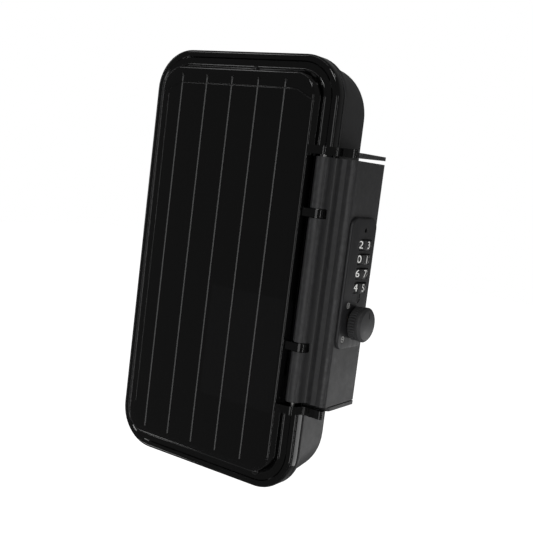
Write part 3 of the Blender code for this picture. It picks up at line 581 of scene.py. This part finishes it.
class COVERBOX_OT_finishes(bpy.types.Operator):
    """Make the shared effects and the materials"""

    bl_idname = "coverbox.finishes"
    bl_label = "Make Finishes"

    def execute(self, context):
        tone = context.scene.coverbox_finish
        EFFECTS.update({
            "moulded_grain": grain_group(),
            "edge_wear": wear_group(),
            "dust_film": dust_group(),
            "drawn_lines": turning_group(),
        })
        FINISHES.update({
            "black_shell": moulded("shell_moulding", tuple(tone.shell), 0.46),
            "knob_black": moulded("knob_moulding", tinted(tone.shell, 1.5), 0.42, 3400.0, 0.2),
            "dial_black": moulded("dial_moulding", tinted(tone.shell, 1.1), 0.4, 3600.0, 0.15),
            "seal_rubber": moulded("seal_rubber", tuple(tone.rubber), 0.8, 1400.0, 0.4, 0.15),
            "smoke_cover": smoked("smoked_lid", tuple(tone.smoke)),
            "lock_black": metal("lock_coating", tuple(tone.lock), 0.36, 0.35, 2200.0, 0.12),
            "zinc_steel": metal("bright_zinc", tuple(tone.steel), 0.3),
            "brass_trim": metal("turned_brass", tuple(tone.brass), 0.28),
            "paint": printed("numeral_paint", tuple(tone.paint)),
            "mark_paint": printed("mark_paint", tinted(tone.paint, 0.4)),
            # The index arrow's recess gets a near-black fill, much darker than the plate around it.
            "index_paint": printed("index_paint", tinted(tone.paint, 0.003)),
        })
        slots = {part["node"]: part["material_slot"] for part in frame["record"]["subparts"]}
        for node, item in frame["nodes"].items():
            item.data.materials.clear()
            item.data.materials.append(FINISHES[slots[node]])
        return {"FINISHED"}


# ---------------------------------------------------------------- tray


def box_rings(profile, corner_at):
    """Rounded-rectangle rings from (inset, out) pairs; corner_at gives the corner's radius."""
    return [
        [FACING["Y"](x, z, out) for x, z in
         rounded_rectangle(HALF_WIDTH - inset, HALF_HEIGHT - inset, corner_at(inset, out))]
        for inset, out in profile
    ]


SCREW_X = 30.15 * MM
SCREW_HOLE = 2.3 * MM
BOSS_HALF, BOSS_OUT = (5 * MM, 8 * MM), 5 * MM
WINDOW_HALF = (26 * MM, 30 * MM)
RING_INSET, RING_WIDTH, RING_DEPTH = 6.7 * MM, 3.6 * MM, 1.3 * MM
GROMMET_LIP = 0.9 * MM


def hinge_plan(root_x):
    """A knuckle in plan: a round end on the hinge axis and a web to the tray's side."""
    low, high = HINGE_OUT - HINGE_RADIUS, HINGE_OUT + HINGE_RADIUS
    return [
        (root_x, low), (root_x, high - 0.5 * MM), (HINGE_X, high),
        *arc((HINGE_X, HINGE_OUT), HINGE_RADIUS, 100, 260, 18), (HINGE_X, low),
    ]


class COVERBOX_OT_tray(bpy.types.Operator):
    """Build the wall tray with its rim, ears, hinge knuckles and gang windows"""

    bl_idname = "coverbox.tray"
    bl_label = "Build Tray"

    def execute(self, context):
        size = context.scene.coverbox_sizes
        finish = FINISHES["black_shell"]
        wall = size.tray_wall
        draft, rear, floor_in = 0.6 * MM, 0.02 * MM, 14 * MM
        tightest_corner = 2 * MM
        lip_out = TRAY_OUT - 2.4 * MM
        path = rounded([
            (floor_in, wall, 0), (SIDE_INSET + draft + wall, wall, 2 * MM),
            (SIDE_INSET + wall, TRAY_OUT - 4 * MM, 1 * MM), (wall, TRAY_OUT, 0.4 * MM),
            (1.1 * MM, TRAY_OUT, 0.3 * MM), (0.9 * MM, TRAY_OUT - 0.3 * MM, 0.1 * MM),
            (0, TRAY_OUT - 0.4 * MM, 0.5 * MM), (0, lip_out, 0.5 * MM),
            (SIDE_INSET, lip_out - 0.7 * MM, 0.4 * MM),
            (SIDE_INSET + draft, rear, 0.6 * MM), (floor_in, rear, 0),
        ], closed=False)

        def inset_at(out):
            """How far the side stands in from the lip."""
            return SIDE_INSET + draft * max(0.0, 1 - out / lip_out)

        def corner_at(inset, out):
            """The corners widen towards the wall, and keep the wall's thickness."""
            on_lip = out > lip_out
            back = min(1.0, max(0.0, 1 - out / lip_out))
            front = size.corner + (0.0 if on_lip else draft)
            outer = front + (size.rear_corner - front) * back
            depth = inset - (0.0 if on_lip else inset_at(out))
            return max(tightest_corner, outer - max(0.0, depth))

        tray = loft("tray", box_rings(path, corner_at), finish)
        self.add_ears(tray, wall, finish)
        self.add_knuckles(tray, wall, finish)
        self.open_back(tray, size, finish)
        self.cut_seal_channel(tray, size, finish)
        self.cut_side_openings(tray, finish)
        hand_over(soften(tray, 0.22 * MM), "base", "black_shell",
                  "base_shell", "base_ear_upper", "base_ear_lower")
        return {"FINISHED"}

    def add_ears(self, tray, wall, finish):
        root = HALF_WIDTH - SIDE_INSET - wall / 2
        ear_out = -span("base_ear_upper", 1)[0]
        for node in ("base_ear_upper", "base_ear_lower"):
            low, high = span(node, 2)
            plan = rounded([
                (root, 0, 0), (FLAP_X, 0, 0.6 * MM), (FLAP_X, ear_out, 2 * MM),
                (HALF_WIDTH + GAP, ear_out, 0), (HALF_WIDTH + GAP, TRAY_OUT - GAP, 0),
                (root, TRAY_OUT - GAP, 0),
            ])
            join(tray, prism("ear", plan, low, high, "Z", finish))

    def add_knuckles(self, tray, wall, finish):
        plan = hinge_plan(-HALF_WIDTH + SIDE_INSET + wall / 2)
        ends = (LID_KNUCKLE_HALF + GAP, HINGE_HALF)
        for middle in (HINGE_Z, -HINGE_Z):
            for side in (1, -1):
                low, high = sorted(middle + side * end for end in ends)
                join(tray, prism("knuckle", plan, low, high, "Z", finish))
            cut(tray, rod("bore", HINGE_BORE, (HINGE_X, HINGE_OUT, middle),
                          2 * HINGE_HALF + 1 * MM, "Z", finish))

    def open_back(self, tray, size, finish):
        """Bosses, screw holes and a window for each outlet."""
        for z in (size.gang_pitch / 2, -size.gang_pitch / 2):
            for x in (SCREW_X, -SCREW_X):
                outline = rounded_rectangle(*BOSS_HALF, 1.2 * MM, (x, z), 4)
                join(tray, prism("boss", outline, size.tray_wall / 2, BOSS_OUT, "Y", finish))
                cut(tray, rod("screw_hole", SCREW_HOLE, (x, 2 * MM, z), 12 * MM, "Y", finish))
            window = rounded_rectangle(*WINDOW_HALF, 1.5 * MM, (0, z), 5)
            cut(tray, prism("window", window, -2 * MM, 9 * MM, "Y", finish))

    def cut_seal_channel(self, tray, size, finish):
        """The channel in the back for the rubber ring."""
        corner = size.rear_corner + 1.6 * MM
        outer, inner = [
            rounded_rectangle(HALF_WIDTH - inset, HALF_HEIGHT - inset, corner - inset)
            for inset in (RING_INSET, RING_INSET + RING_WIDTH)
        ]
        channel = prism("channel", outer, -1 * MM, RING_DEPTH, "Y", finish)
        cut(channel, prism("core", inner, -2 * MM, 3 * MM, "Y", finish))
        cut(tray, channel)

    def cut_side_openings(self, tray, finish):
        """The notches for the cable grommets and the holes for the strike's screws."""
        for side in ("left", "right"):
            low, high = span(f"cable_grommet_{side}", 0)
            cut(tray, block("notch", (low + GROMMET_LIP, high - GROMMET_LIP),
                            (9 * MM, LID_REAR + 1 * MM),
                            (-HALF_HEIGHT - 2 * MM, -HALF_HEIGHT + 7.5 * MM), finish))
        for number in (1, 2):
            place = (HALF_WIDTH - SIDE_INSET, KNOB_OUT, centre_of(f"strike_screw_{number}", 2))
            cut(tray, rod("strike_hole", LOCK_SCREW_HOLE, place, 9 * MM, "X", finish))


# ---------------------------------------------------------------- lid


# Fine lines engraved on the panel: the chamfered top of a frame and its left side (x, z).
FRAME_LINES = (
    ((-44.3 * MM, 81.5 * MM), (-33.1 * MM, 86.6 * MM), (35.1 * MM, 86.6 * MM),
     (44.3 * MM, 82.2 * MM)),
    ((-40.4 * MM, -78.5 * MM), (-40.4 * MM, 80.5 * MM)),
)

# Small round nubs on the slopes at the panel's top and bottom (x, z).
NUBS = ((9.8 * MM, 94.2 * MM), (37.5 * MM, -93.6 * MM))

# Radius of each cutter or nub, and how far its centre stands above the panel.
GROOVE_END = (1.0 * MM, 0.5 * MM)
FRAME_LINE = (0.42 * MM, 0.18 * MM)
NUB = (2.0 * MM, -2.1 * MM)

# The flap's front in plan, from its outer corner and the barrel's axis, with edge radii.
FLAP_WAVE = (
    (10.6 * MM, 2.4 * MM, 1.5 * MM),
    (9.0 * MM, 2.3 * MM, 1.2 * MM),
    (7.1 * MM, 1.7 * MM, 1.2 * MM),
    (4.8 * MM, 2.2 * MM, 0.5 * MM),
    (2.2 * MM, 1.5 * MM, 1.6 * MM),
    (0.5 * MM, 2.5 * MM, 1.4 * MM),
)
FLAP_SHOULDER = 3.6 * MM
BARREL_RADIUS = 3.7 * MM
KNUCKLE_RADIUS, KNUCKLE_HALF = 4.0 * MM, 1.9 * MM
KNUCKLES_Z = (31.8 * MM, -30.4 * MM)
EAR_LOW = 58.4 * MM
EAR_THICK = 3.9 * MM


def flap_front():
    """The flap's outer front line in plan: the valley beside the barrel and two ridges."""
    return [(FLAP_X - inset, BARREL_OUT - drop, radius) for inset, drop, radius in FLAP_WAVE]


class COVERBOX_OT_lid(bpy.types.Operator):
    """Build the smoked lid with its stepped rim, grooved panel, ears and knuckles"""

    bl_idname = "coverbox.lid"
    bl_label = "Build Lid"

    def execute(self, context):
        size = context.scene.coverbox_sizes
        finish = FINISHES["smoke_cover"]
        wall, flange = size.lid_wall, size.flange
        panel = flange + size.panel_draft
        top = size.flange_out
        path = rounded([
            (panel + 5 * MM, LID_OUT - wall, 0), (panel + 1.7 * MM, LID_OUT - wall, 0.8 * MM),
            (flange + 1.8 * MM, top - wall, 0.8 * MM), (wall, top - wall, 0.6 * MM),
            (wall, LID_REAR, 0.3 * MM), (0, LID_REAR, 0.35 * MM), (0, top, 1.6 * MM),
            (3.3 * MM, top, 0.5 * MM), (3.9 * MM, top - 0.55 * MM, 0.5 * MM),
            (flange, top - 0.55 * MM, 1.3 * MM), (panel - 0.1 * MM, LID_OUT, 1.2 * MM),
            (panel + 5 * MM, LID_OUT, 0),
        ], closed=False)
        lid = loft("lid", box_rings(path, lambda inset, out: size.corner - inset), finish)
        self.add_latch_side(lid, wall, flange, panel, finish)
        self.add_knuckles(lid, wall, finish)
        self.cut_grooves(lid, size, finish)
        hand_over(soften(lid, 0.25 * MM), "cover", "smoke_cover", "cover")
        return {"FINISHED"}

    def add_latch_side(self, lid, wall, flange, panel, finish):
        """The notch for the flap, the ledge below it, two ears and two pin knuckles."""
        wall_x = HALF_WIDTH - flange - GAP / 2
        cut(lid, block("notch", (wall_x, FLAP_X), (LID_REAR - 2 * MM, LID_OUT + 1 * MM),
                       (-EAR_LOW, EAR_LOW), finish))
        edge, ledge_out = HALF_WIDTH - 0.4 * MM, LID_REAR + 1.2 * MM
        wall_out = BARREL_OUT + 0.5 * MM
        ledge = rounded([
            (wall_x - wall, LID_REAR, 0), (edge, LID_REAR, 0.3 * MM), (edge, ledge_out, 0.5 * MM),
            (wall_x, ledge_out, 0.8 * MM), (wall_x, wall_out, 0), (wall_x - wall, wall_out, 0),
        ])
        reach = EAR_LOW + EAR_THICK / 2
        join(lid, prism("ledge", ledge, -reach, reach, "Z", finish))
        ear = rounded([
            (wall_x - wall / 2, LID_REAR, 0), (FLAP_X - 1.2 * MM, LID_REAR, 0.5 * MM),
            *flap_front()[::-1],
            (BARREL_X + 1.8 * MM, BARREL_OUT + KNUCKLE_RADIUS, 2.0 * MM),
            (HALF_WIDTH - panel + 0.5 * MM, LID_OUT - 0.35 * MM, 0.8 * MM),
            (HALF_WIDTH - panel - 1 * MM, LID_OUT - 0.6 * MM, 0),
        ])
        for low in (EAR_LOW, -EAR_LOW - EAR_THICK):
            join(lid, prism("ear", ear, low, low + EAR_THICK, "Z", finish))
        knuckle = [
            (wall_x - wall / 2, BARREL_OUT - KNUCKLE_RADIUS),
            *arc((BARREL_X, BARREL_OUT), KNUCKLE_RADIUS, -90, 90, 24),
            (wall_x - wall / 2, BARREL_OUT + KNUCKLE_RADIUS),
        ]
        for z in KNUCKLES_Z:
            low, high = z - KNUCKLE_HALF, z + KNUCKLE_HALF
            join(lid, prism("pin_knuckle", knuckle, low, high, "Z", finish))
        pin_low, pin_high = span("flap_hinge_pin", 2)
        cut(lid, rod("pin_bore", PIN_BORE, (BARREL_X, BARREL_OUT, 0),
                     pin_high - pin_low + 2 * GAP, "Z", finish))

    def add_knuckles(self, lid, wall, finish):
        half, left = LID_KNUCKLE_HALF, -HALF_WIDTH
        plan = [
            (left + wall / 2, LID_REAR + 0.2 * MM), (left + wall / 2, LID_REAR + 3 * MM),
            (left, LID_REAR + 3 * MM), (left - 2.2 * MM, LID_REAR + 0.6 * MM),
            *arc((HINGE_X, HINGE_OUT), HINGE_RADIUS, 145, 375, 26),
            (HINGE_X + HINGE_RADIUS - GAP, LID_REAR + 0.2 * MM),
        ]
        for middle in (HINGE_Z, -HINGE_Z):
            join(lid, prism("knuckle", plan, middle - half, middle + half, "Z", finish))
            cut(lid, rod("bore", HINGE_BORE, (HINGE_X, HINGE_OUT, middle), 2 * half + 1 * MM,
                         "Z", finish))

    def cut_grooves(self, lid, size, finish):
        half, straight = size.line_width / 2, size.line_length / 2
        for i in range(LINE_COUNT):
            x = size.line_shift + (i - (LINE_COUNT - 1) / 2) * size.line_pitch
            outline = [(x - half, LID_OUT), (x, LID_OUT - half * math.tan(GROOVE_SLOPE)),
                       (x + half, LID_OUT), (x + half, LID_OUT + MM), (x - half, LID_OUT + MM)]
            cut(lid, prism("groove", outline, -straight, straight, "Z", finish))
            end = (x, LID_OUT + GROOVE_END[1], straight)
            cut(lid, ball("groove_end", GROOVE_END[0], end, finish))
        for path in FRAME_LINES:
            cut(lid, bar("frame_line", path, FRAME_LINE[0], LID_OUT + FRAME_LINE[1], finish))
        for x, z in NUBS:
            join(lid, ball("nub", NUB[0], (x, LID_OUT + NUB[1], z), finish))
        lid.data.set_sharp_from_angle(angle=LID_SHARP)


# ---------------------------------------------------------------- lock flap


class COVERBOX_OT_flap(bpy.types.Operator):
    """Build the lock flap with its pin barrel, waved front and dial window"""

    bl_idname = "coverbox.flap"
    bl_label = "Build Lock Flap"

    def execute(self, context):
        finish = FINISHES["black_shell"]
        wall, skin = 2 * MM, 1.6 * MM
        start = Vector((BARREL_X + 2.4 * MM, BARREL_OUT + 2.7 * MM))
        front = flap_front()
        valley, low, rise, dip, ridge, corner = front
        slope = Vector((start.y - valley[1], valley[0] - start.x)).normalized()
        rear = -span("lock_flap", 1)[1]
        inner_x = FLAP_X - wall
        shoulder = BARREL_OUT - FLAP_SHOULDER
        outline = rounded([
            (*start, 0), *front, (FLAP_X, shoulder, 1.2 * MM),
            (FLAP_X, rear, 0.4 * MM), (inner_x, rear, 0.4 * MM),
            (inner_x, shoulder - GAP, 0.8 * MM),
            (ridge[0] - GAP, ridge[1] - wall, 1 * MM),
            (dip[0], dip[1] - skin, 1 * MM),
            (rise[0], rise[1] - wall, 1 * MM),
            (low[0], low[1] - wall, 1 * MM),
            (valley[0] - skin / 2, valley[1] - skin, 1 * MM),
            (*(start - skin * slope), 0),
        ])
        flap = prism("flap", outline, FLAP_LOW, FLAP_HIGH, "Z", finish)
        middle, tall = (FLAP_LOW + FLAP_HIGH) / 2, FLAP_HIGH - FLAP_LOW
        join(flap, rod("barrel", BARREL_RADIUS, (BARREL_X, BARREL_OUT, middle), tall, "Z", finish))
        for z in KNUCKLES_Z:
            cut(flap, rod("knuckle_room", KNUCKLE_RADIUS + 0.5 * MM, (BARREL_X, BARREL_OUT, z),
                          2 * (KNUCKLE_HALF + GAP), "Z", finish, 64))
        cut(flap, rod("bore", PIN_BORE, (BARREL_X, BARREL_OUT, middle), tall + 2 * MM, "Z",
                      finish, 24))
        dials_low, dials_high = span("dial_4", 2)[0], span("dial_1", 2)[1]
        out_low, out_high = -span("dial_1", 1)[1], -span("dial_1", 1)[0]
        cut(flap, block("window", (inner_x - 2 * MM, FLAP_X + 2 * MM), (out_low, out_high),
                        (dials_low - 0.5 * MM, dials_high + 0.5 * MM), finish))
        cut(flap, rod("bushing_hole", BUSHING_HOLE, (FLAP_X, KNOB_OUT, KNOB_Z), 8 * MM, "X",
                      finish))
        for number in (1, 2, 3):
            node = f"lock_screw_{number}"
            place = (FLAP_X, -centre_of(node, 1), centre_of(node, 2))
            cut(flap, rod("screw_hole", LOCK_SCREW_HOLE, place, 8 * MM, "X", finish))
        hand_over(soften(flap, 0.25 * MM), "flap", "black_shell", "lock_flap")
        return {"FINISHED"}


# ---------------------------------------------------------------- lock plate and dials


# Places of the two marks beside the knob (out, z): open above and locked below.
MARKS = ((20.6 * MM, -8.6 * MM), (21.8 * MM, -24.4 * MM))
MARK_DEPTH, PAINT_THICK = 0.3 * MM, 0.16 * MM
MARK_RECESS, MARK_RING, MARK_RING_HOLE = 1.7 * MM, 1.45 * MM, 1.1 * MM
MARK_BAR = (0.2 * MM, 0.75 * MM)
RESET_HOLE, RESET_PLACE = 1.1 * MM, (13.5 * MM, 26.4 * MM)
PLATE_CORNER = 5 * MM


def index_outlines(out, inset=0.0):
    """The index under the dials: a block, and an arrowhead that points at the knob."""
    block_low, head_top, tip = -5.5 * MM, -5.9 * MM, -8.0 * MM
    half, top = 1.5 * MM - inset, -3.6 * MM - inset
    return (
        [(out - half, block_low + inset), (out + half, block_low + inset), (out + half, top),
         (out - half, top)],
        [(out, tip + 1.4 * inset), (out + 2.1 * MM - 1.8 * inset, head_top - inset),
         (out - 2.1 * MM + 1.8 * inset, head_top - inset)],
    )


class COVERBOX_OT_plate(bpy.types.Operator):
    """Build the lock plate with its dial slots, reset hole, index arrow and position marks"""

    bl_idname = "coverbox.plate"
    bl_label = "Build Lock Plate"

    def execute(self, context):
        finish = FINISHES["lock_black"]
        half = (half_of("lock_plate", 1), half_of("lock_plate", 2))
        centre = (-centre_of("lock_plate", 1), centre_of("lock_plate", 2))
        rear, face = PLATE_X
        profile = ((0, rear), (0, face - 0.7 * MM), (0.2 * MM, face - 0.25 * MM),
                   (0.55 * MM, face - 0.05 * MM), (0.9 * MM, face))
        plate = loft("plate", [
            [FACING["X"](u, v, x) for u, v in rounded_rectangle(
                half[0] - inset, half[1] - inset, PLATE_CORNER - inset, centre)]
            for inset, x in profile
        ], finish)
        for number in (1, 2, 3, 4):
            place = (DIAL_X, DIAL_OUT, centre_of(f"dial_{number}", 2))
            cut(plate, rod("slot", DIAL_RADIUS + GAP, place, 5.2 * MM, "Z", finish, 96))
        for name, radius, place in (("reset", RESET_HOLE, RESET_PLACE),
                                    ("knob_hole", BUSHING_HOLE, (KNOB_OUT, KNOB_Z))):
            cut(plate, rod(name, radius, (face, *place), 8 * MM, "X", finish))
        for place in MARKS:
            cut(plate, rod("mark", MARK_RECESS, (face, *place), 2 * MARK_DEPTH, "X", finish))
        for outline in index_outlines(DIAL_OUT):
            cut(plate, prism("index", outline, face - MARK_DEPTH, face + 1 * MM, "X", finish))
        hand_over(soften(plate, 0.12 * MM), "flap", "lock_black", "lock_plate")
        self.add_marks(face - MARK_DEPTH)
        return {"FINISHED"}

    def add_marks(self, x):
        """A near-black fill at the bottom of the index arrow's recess, and pale rings and bars that show open and
        locked.
        """
        paint, dark = FINISHES["mark_paint"], FINISHES["index_paint"]
        for number, outline in enumerate(index_outlines(DIAL_OUT, 0.1 * MM), 1):
            hand_over(prism(f"index_{number}", outline, x, x + 0.1 * MM, "X", dark),
                      "flap", "dial_black")
        for number, (out, z) in enumerate(MARKS, 1):
            ring = rod(f"mark_ring_{number}", MARK_RING, (x + PAINT_THICK / 2, out, z),
                       PAINT_THICK, "X", paint)
            cut(ring, rod("hole", MARK_RING_HOLE, (x, out, z), 1 * MM, "X", paint))
            half = MARK_BAR if number == 1 else MARK_BAR[::-1]
            stroke = prism(f"mark_bar_{number}", rounded_rectangle(*half, 0.18 * MM, (out, z), 5),
                           x, x + PAINT_THICK, "X", paint)
            for mark in (ring, stroke):
                hand_over(mark, "flap", "dial_black")


class COVERBOX_OT_dials(bpy.types.Operator):
    """Build the four number dials with their notches and printed figures"""

    bl_idname = "coverbox.dials"
    bl_label = "Build Dials"

    def execute(self, context):
        size = context.scene.coverbox_sizes.numeral
        for number in (1, 2, 3, 4):
            self.build(number, size, shift=(3, 1, 7, 5)[number - 1])
        return {"FINISHED"}

    def build(self, number, size, shift):
        node = f"dial_{number}"
        x, out, z = centre_of(node, 0), -centre_of(node, 1), centre_of(node, 2)
        radius, half = half_of(node, 0) - 0.12 * MM, half_of(node, 2)
        edge = rounded([(5 * MM, -half, 0), (radius, -half, 0.6 * MM), (radius, half, 0.6 * MM),
                        (5 * MM, half, 0)], closed=False, steps=4)
        profile = [(2 * MM, -half), *edge, (2 * MM, half)]
        places = len(NUMERALS)

        def notch(ring, angle):
            if profile[ring][0] < 6 * MM:
                return 0.0
            turn = (angle / (2 * math.pi) * places) % 1.0
            return 0.45 * MM * max(0.0, 1.0 - abs(turn - 0.5) / 0.09)

        dial = turned(f"drum_{number}", profile, (x, out, z), "Z", FINISHES["dial_black"],
                      240, notch)
        cut(dial, rod("bore", 1.5 * MM, (x, out, z), 12 * MM, "Z", FINISHES["dial_black"], 32))
        hand_over(dial, node, "dial_black", node)
        for place, figure in enumerate(NUMERALS):
            text = bpy.data.curves.new(f"figure_{number}_{figure}", "FONT")
            text.body = figure
            text.size = size
            text.align_x = "CENTER"
            text.align_y = "CENTER"
            text.extrude = 0.05 * MM
            text.resolution_u = 3
            guide = add_object(text.name, text)
            bpy.context.view_layer.update()
            mesh = evaluated_mesh(guide)
            bpy.data.objects.remove(guide)
            mesh.name = text.name
            turn = 2 * math.pi * (place - shift) / places
            where = (Matrix.Translation((x, -out, z)) @ Matrix.Rotation(turn, 4, "Z")
                     @ Matrix.Translation((radius, 0, 0))
                     @ Matrix(((0, 0, 1, 0), (1, 0, 0, 0), (0, 1, 0, 0), (0, 0, 0, 1))))
            mesh.transform(where)
            mesh.materials.clear()
            mesh.materials.append(FINISHES["paint"])
            hand_over(add_object(text.name, mesh), node, "dial_black")


# ---------------------------------------------------------------- knob


class COVERBOX_OT_knob(bpy.types.Operator):
    """Build the round thumb knob with its knurled skirt and domed cap"""

    bl_idname = "coverbox.knob"
    bl_label = "Build Knob"

    def execute(self, context):
        finish = FINISHES["knob_black"]
        low, high = span("knob", 0)
        radius = half_of("knob", 2)
        depth = context.scene.coverbox_sizes.knurl_depth
        skirt, rim = 3.9 * MM, 4.4 * MM
        crown = high - low
        teeth = 36
        outline = rounded([
            (4.5 * MM, 0, 0), (radius - 0.8 * MM, 0, 0.3 * MM),
            (radius - 0.45 * MM, 0.5 * MM, 0.1 * MM), (radius - 0.25 * MM, 0.8 * MM, 0.1 * MM),
            (radius - 0.25 * MM, skirt - 0.2 * MM, 0.1 * MM), (radius - 0.5 * MM, skirt, 0),
            (radius - 0.5 * MM, rim - 0.1 * MM, 0), (radius, rim + 0.2 * MM, 0.2 * MM),
            (radius, crown - 1.6 * MM, 0.6 * MM), (radius - 1.1 * MM, crown - 0.55 * MM, 0.9 * MM),
            (2.5 * MM, crown, 4 * MM),
        ], closed=False, steps=6)
        profile = [(3.3 * MM, 4 * MM), (3.3 * MM, 0), *outline, (0.05 * MM, crown)]

        def knurl(ring, angle):
            along = profile[ring][1]
            if not 0.7 * MM < along < skirt - 0.05 * MM or profile[ring][0] < 6 * MM:
                return 0.0
            wave = 0.5 + 0.5 * math.cos(teeth * angle)
            return depth * (1 - min(1.0, 1.8 * wave))

        knob = turned("thumb_knob", profile, (low, KNOB_OUT, KNOB_Z), "X", finish, 288, knurl)
        pointer = prism("pointer", rounded_rectangle(
            0.3 * MM, 1.6 * MM, 0.25 * MM, (KNOB_OUT, KNOB_Z + 4.6 * MM), 4),
            high - 0.5 * MM, high + 1 * MM, "X", finish)
        cut(knob, pointer)
        hand_over(knob, "knob", "knob_black", "knob")
        return {"FINISHED"}


class COVERBOX_OT_hardware(bpy.types.Operator):
    """Soften the edges of the small frame parts that stay as they are"""

    bl_idname = "coverbox.hardware"
    bl_label = "Finish Hardware"

    def execute(self, context):
        for item in frame["nodes"].values():
            if not item.hide_render:
                soften(item, 0.12 * MM)
        return {"FINISHED"}


# ---------------------------------------------------------------- stage


# Each light: its name, its place, the point it faces, its two sides and its power.
LIGHTS = (
    ("overhead_softbox", (-0.15, -0.45, 0.95), (0, 0, 0.02), (0.6, 0.2), 0.4),
    ("upper_left_softbox", (-0.66, -0.61, 0.79), (0, 0, 0), (0.3, 0.3), 0.8),
    ("lower_left_softbox", (-0.58, -0.50, -0.60), (0, 0, 0), (0.14, 0.14), 0.25),
    ("upper_right_softbox", (0.19, -0.95, 0.72), (0, 0, 0.03), (0.3, 0.3), 1.8),
    ("upper_side_softbox", (0.60, -0.30, 0.88), (0.06, 0, 0), (0.15, 0.15), 0.3),
    ("left_strip", (-0.85, -0.35, 0.05), (0, 0, 0), (0.08, 1.0), 0.6),
    ("right_strip", (0.85, -0.25, -0.18), (0, 0, -0.04), (0.05, 1.0), 0.7),
    ("front_card", (0.35, -0.97, -0.15), (0, 0, -0.02), (0.5, 0.8), 1.9),
    ("rear_right_card", (0.62, 0.80, -0.44), (0.06, 0, -0.06), (0.9, 0.45), 1.6),
    ("low_right_softbox", (0.22, -0.07, -0.25), (0.06, -0.01, -0.07), (0.14, 0.14), 0.4),
)

# This light stands close to the box, so its own reflection is kept out of the glossy faces.
UNREFLECTED = "low_right_softbox"

CAMERA_PLACE = (0.25375, -0.37142, 0.04849)
CAMERA_RIGHT = (0.81894, 0.56082, 0.12171)
CAMERA_BACK = (0.55042, -0.82762, 0.10994)
SENSOR_WIDTH, FOCAL_LENGTH = 36, 58.58


def area_light(name, location, target, size, power):
    data = bpy.data.lights.new(name, "AREA")
    data.shape = "RECTANGLE"
    data.size, data.size_y = size
    data.energy = power
    made = add_object(name, data)
    made.location = location
    made.visible_camera = False
    made.visible_glossy = name != UNREFLECTED
    aim = Vector(target) - Vector(location)
    made.rotation_euler = aim.to_track_quat("-Z", "Y").to_euler()


class COVERBOX_OT_stage(bpy.types.Operator):
    """Set the pale floor, the soft studio light and the camera"""

    bl_idname = "coverbox.stage"
    bl_label = "Set Stage"

    def execute(self, context):
        scene = context.scene
        self.add_floor(scene)
        self.add_world(scene)
        for light in LIGHTS:
            area_light(*light)
        self.add_camera(scene)
        return {"FINISHED"}

    def add_floor(self, scene):
        made, _, shader = new_finish("floor_paint", tuple(scene.coverbox_finish.floor),
                                     Roughness=0.9)
        shader.inputs["Emission Color"].default_value = (1, 1, 1, 1)
        shader.inputs["Emission Strength"].default_value = 1.0
        mesh = bpy.data.meshes.new("floor")
        shape = bmesh.new()
        bmesh.ops.create_grid(shape, x_segments=1, y_segments=1, size=6.0)
        shape.to_mesh(mesh)
        shape.free()
        mesh.materials.append(made)
        floor = add_object("floor", mesh)
        floor.location = (0, 0, FLOOR_Z)
        floor.visible_glossy = False

    def add_world(self, scene):
        world = bpy.data.worlds.new("studio")
        world.use_nodes = True
        scene.world = world
        nodes = Nodes(world.node_tree)
        output = world.node_tree.nodes["World Output"]
        seen = world.node_tree.nodes["Background"]
        seen.inputs["Color"].default_value = (1, 1, 1, 1)
        seen.inputs["Strength"].default_value = 1.0
        dim = nodes.add("ShaderNodeBackground")
        dim.inputs["Color"].default_value = (0.5, 0.5, 0.5, 1)
        dim.inputs["Strength"].default_value = 0.28
        mix = nodes.add("ShaderNodeMixShader")
        path = nodes.add("ShaderNodeLightPath")
        nodes.feed(mix.inputs[0], path.outputs["Is Camera Ray"])
        nodes.feed(mix.inputs[1], dim.outputs[0])
        nodes.feed(mix.inputs[2], seen.outputs[0])
        nodes.feed(output.inputs["Surface"], mix.outputs[0])
        scene.view_settings.view_transform = "Standard"

    def add_camera(self, scene):
        data = bpy.data.cameras.new("camera")
        data.sensor_width = SENSOR_WIDTH
        data.lens = FOCAL_LENGTH
        data.clip_start, data.clip_end = 0.01, 30
        camera = add_object("camera", data)
        right = Vector(CAMERA_RIGHT).normalized()
        back = Vector(CAMERA_BACK).normalized()
        up = back.cross(right).normalized()
        right = up.cross(back)
        turn = Matrix((right, up, back)).transposed()
        camera.matrix_world = Matrix.Translation(CAMERA_PLACE) @ turn.to_4x4()
        scene.camera = camera


class COVERBOX_PT_panel(bpy.types.Panel):
    """Sizes, finishes and build steps of the cover box"""

    bl_idname = "COVERBOX_PT_panel"
    bl_label = "Cover Box"
    bl_space_type = "VIEW_3D"
    bl_region_type = "UI"
    bl_category = "Cover Box"

    def draw(self, context):
        for group in (context.scene.coverbox_sizes, context.scene.coverbox_finish):
            box = self.layout.box()
            for name in group.__annotations__:
                box.prop(group, name)
        for step in BUILD_STEPS:
            self.layout.operator(step.bl_idname)


BUILD_STEPS = (
    COVERBOX_OT_finishes,
    COVERBOX_OT_tray,
    COVERBOX_OT_lid,
    COVERBOX_OT_flap,
    COVERBOX_OT_plate,
    COVERBOX_OT_dials,
    COVERBOX_OT_knob,
    COVERBOX_OT_hardware,
    COVERBOX_OT_stage,
)
CLASSES = (BoxSizes, BoxFinish, *BUILD_STEPS, COVERBOX_PT_panel)


def register():
    for item in CLASSES:
        bpy.utils.register_class(item)
    bpy.types.Scene.coverbox_sizes = bpy.props.PointerProperty(type=BoxSizes)
    bpy.types.Scene.coverbox_finish = bpy.props.PointerProperty(type=BoxFinish)


def unregister():
    del bpy.types.Scene.coverbox_finish
    del bpy.types.Scene.coverbox_sizes
    for item in reversed(CLASSES):
        bpy.utils.unregister_class(item)


def main():
    register()
    for step in BUILD_STEPS:
        group, name = step.bl_idname.split(".")
        getattr(getattr(bpy.ops, group), name)()


if __name__ == "__main__":
    main()
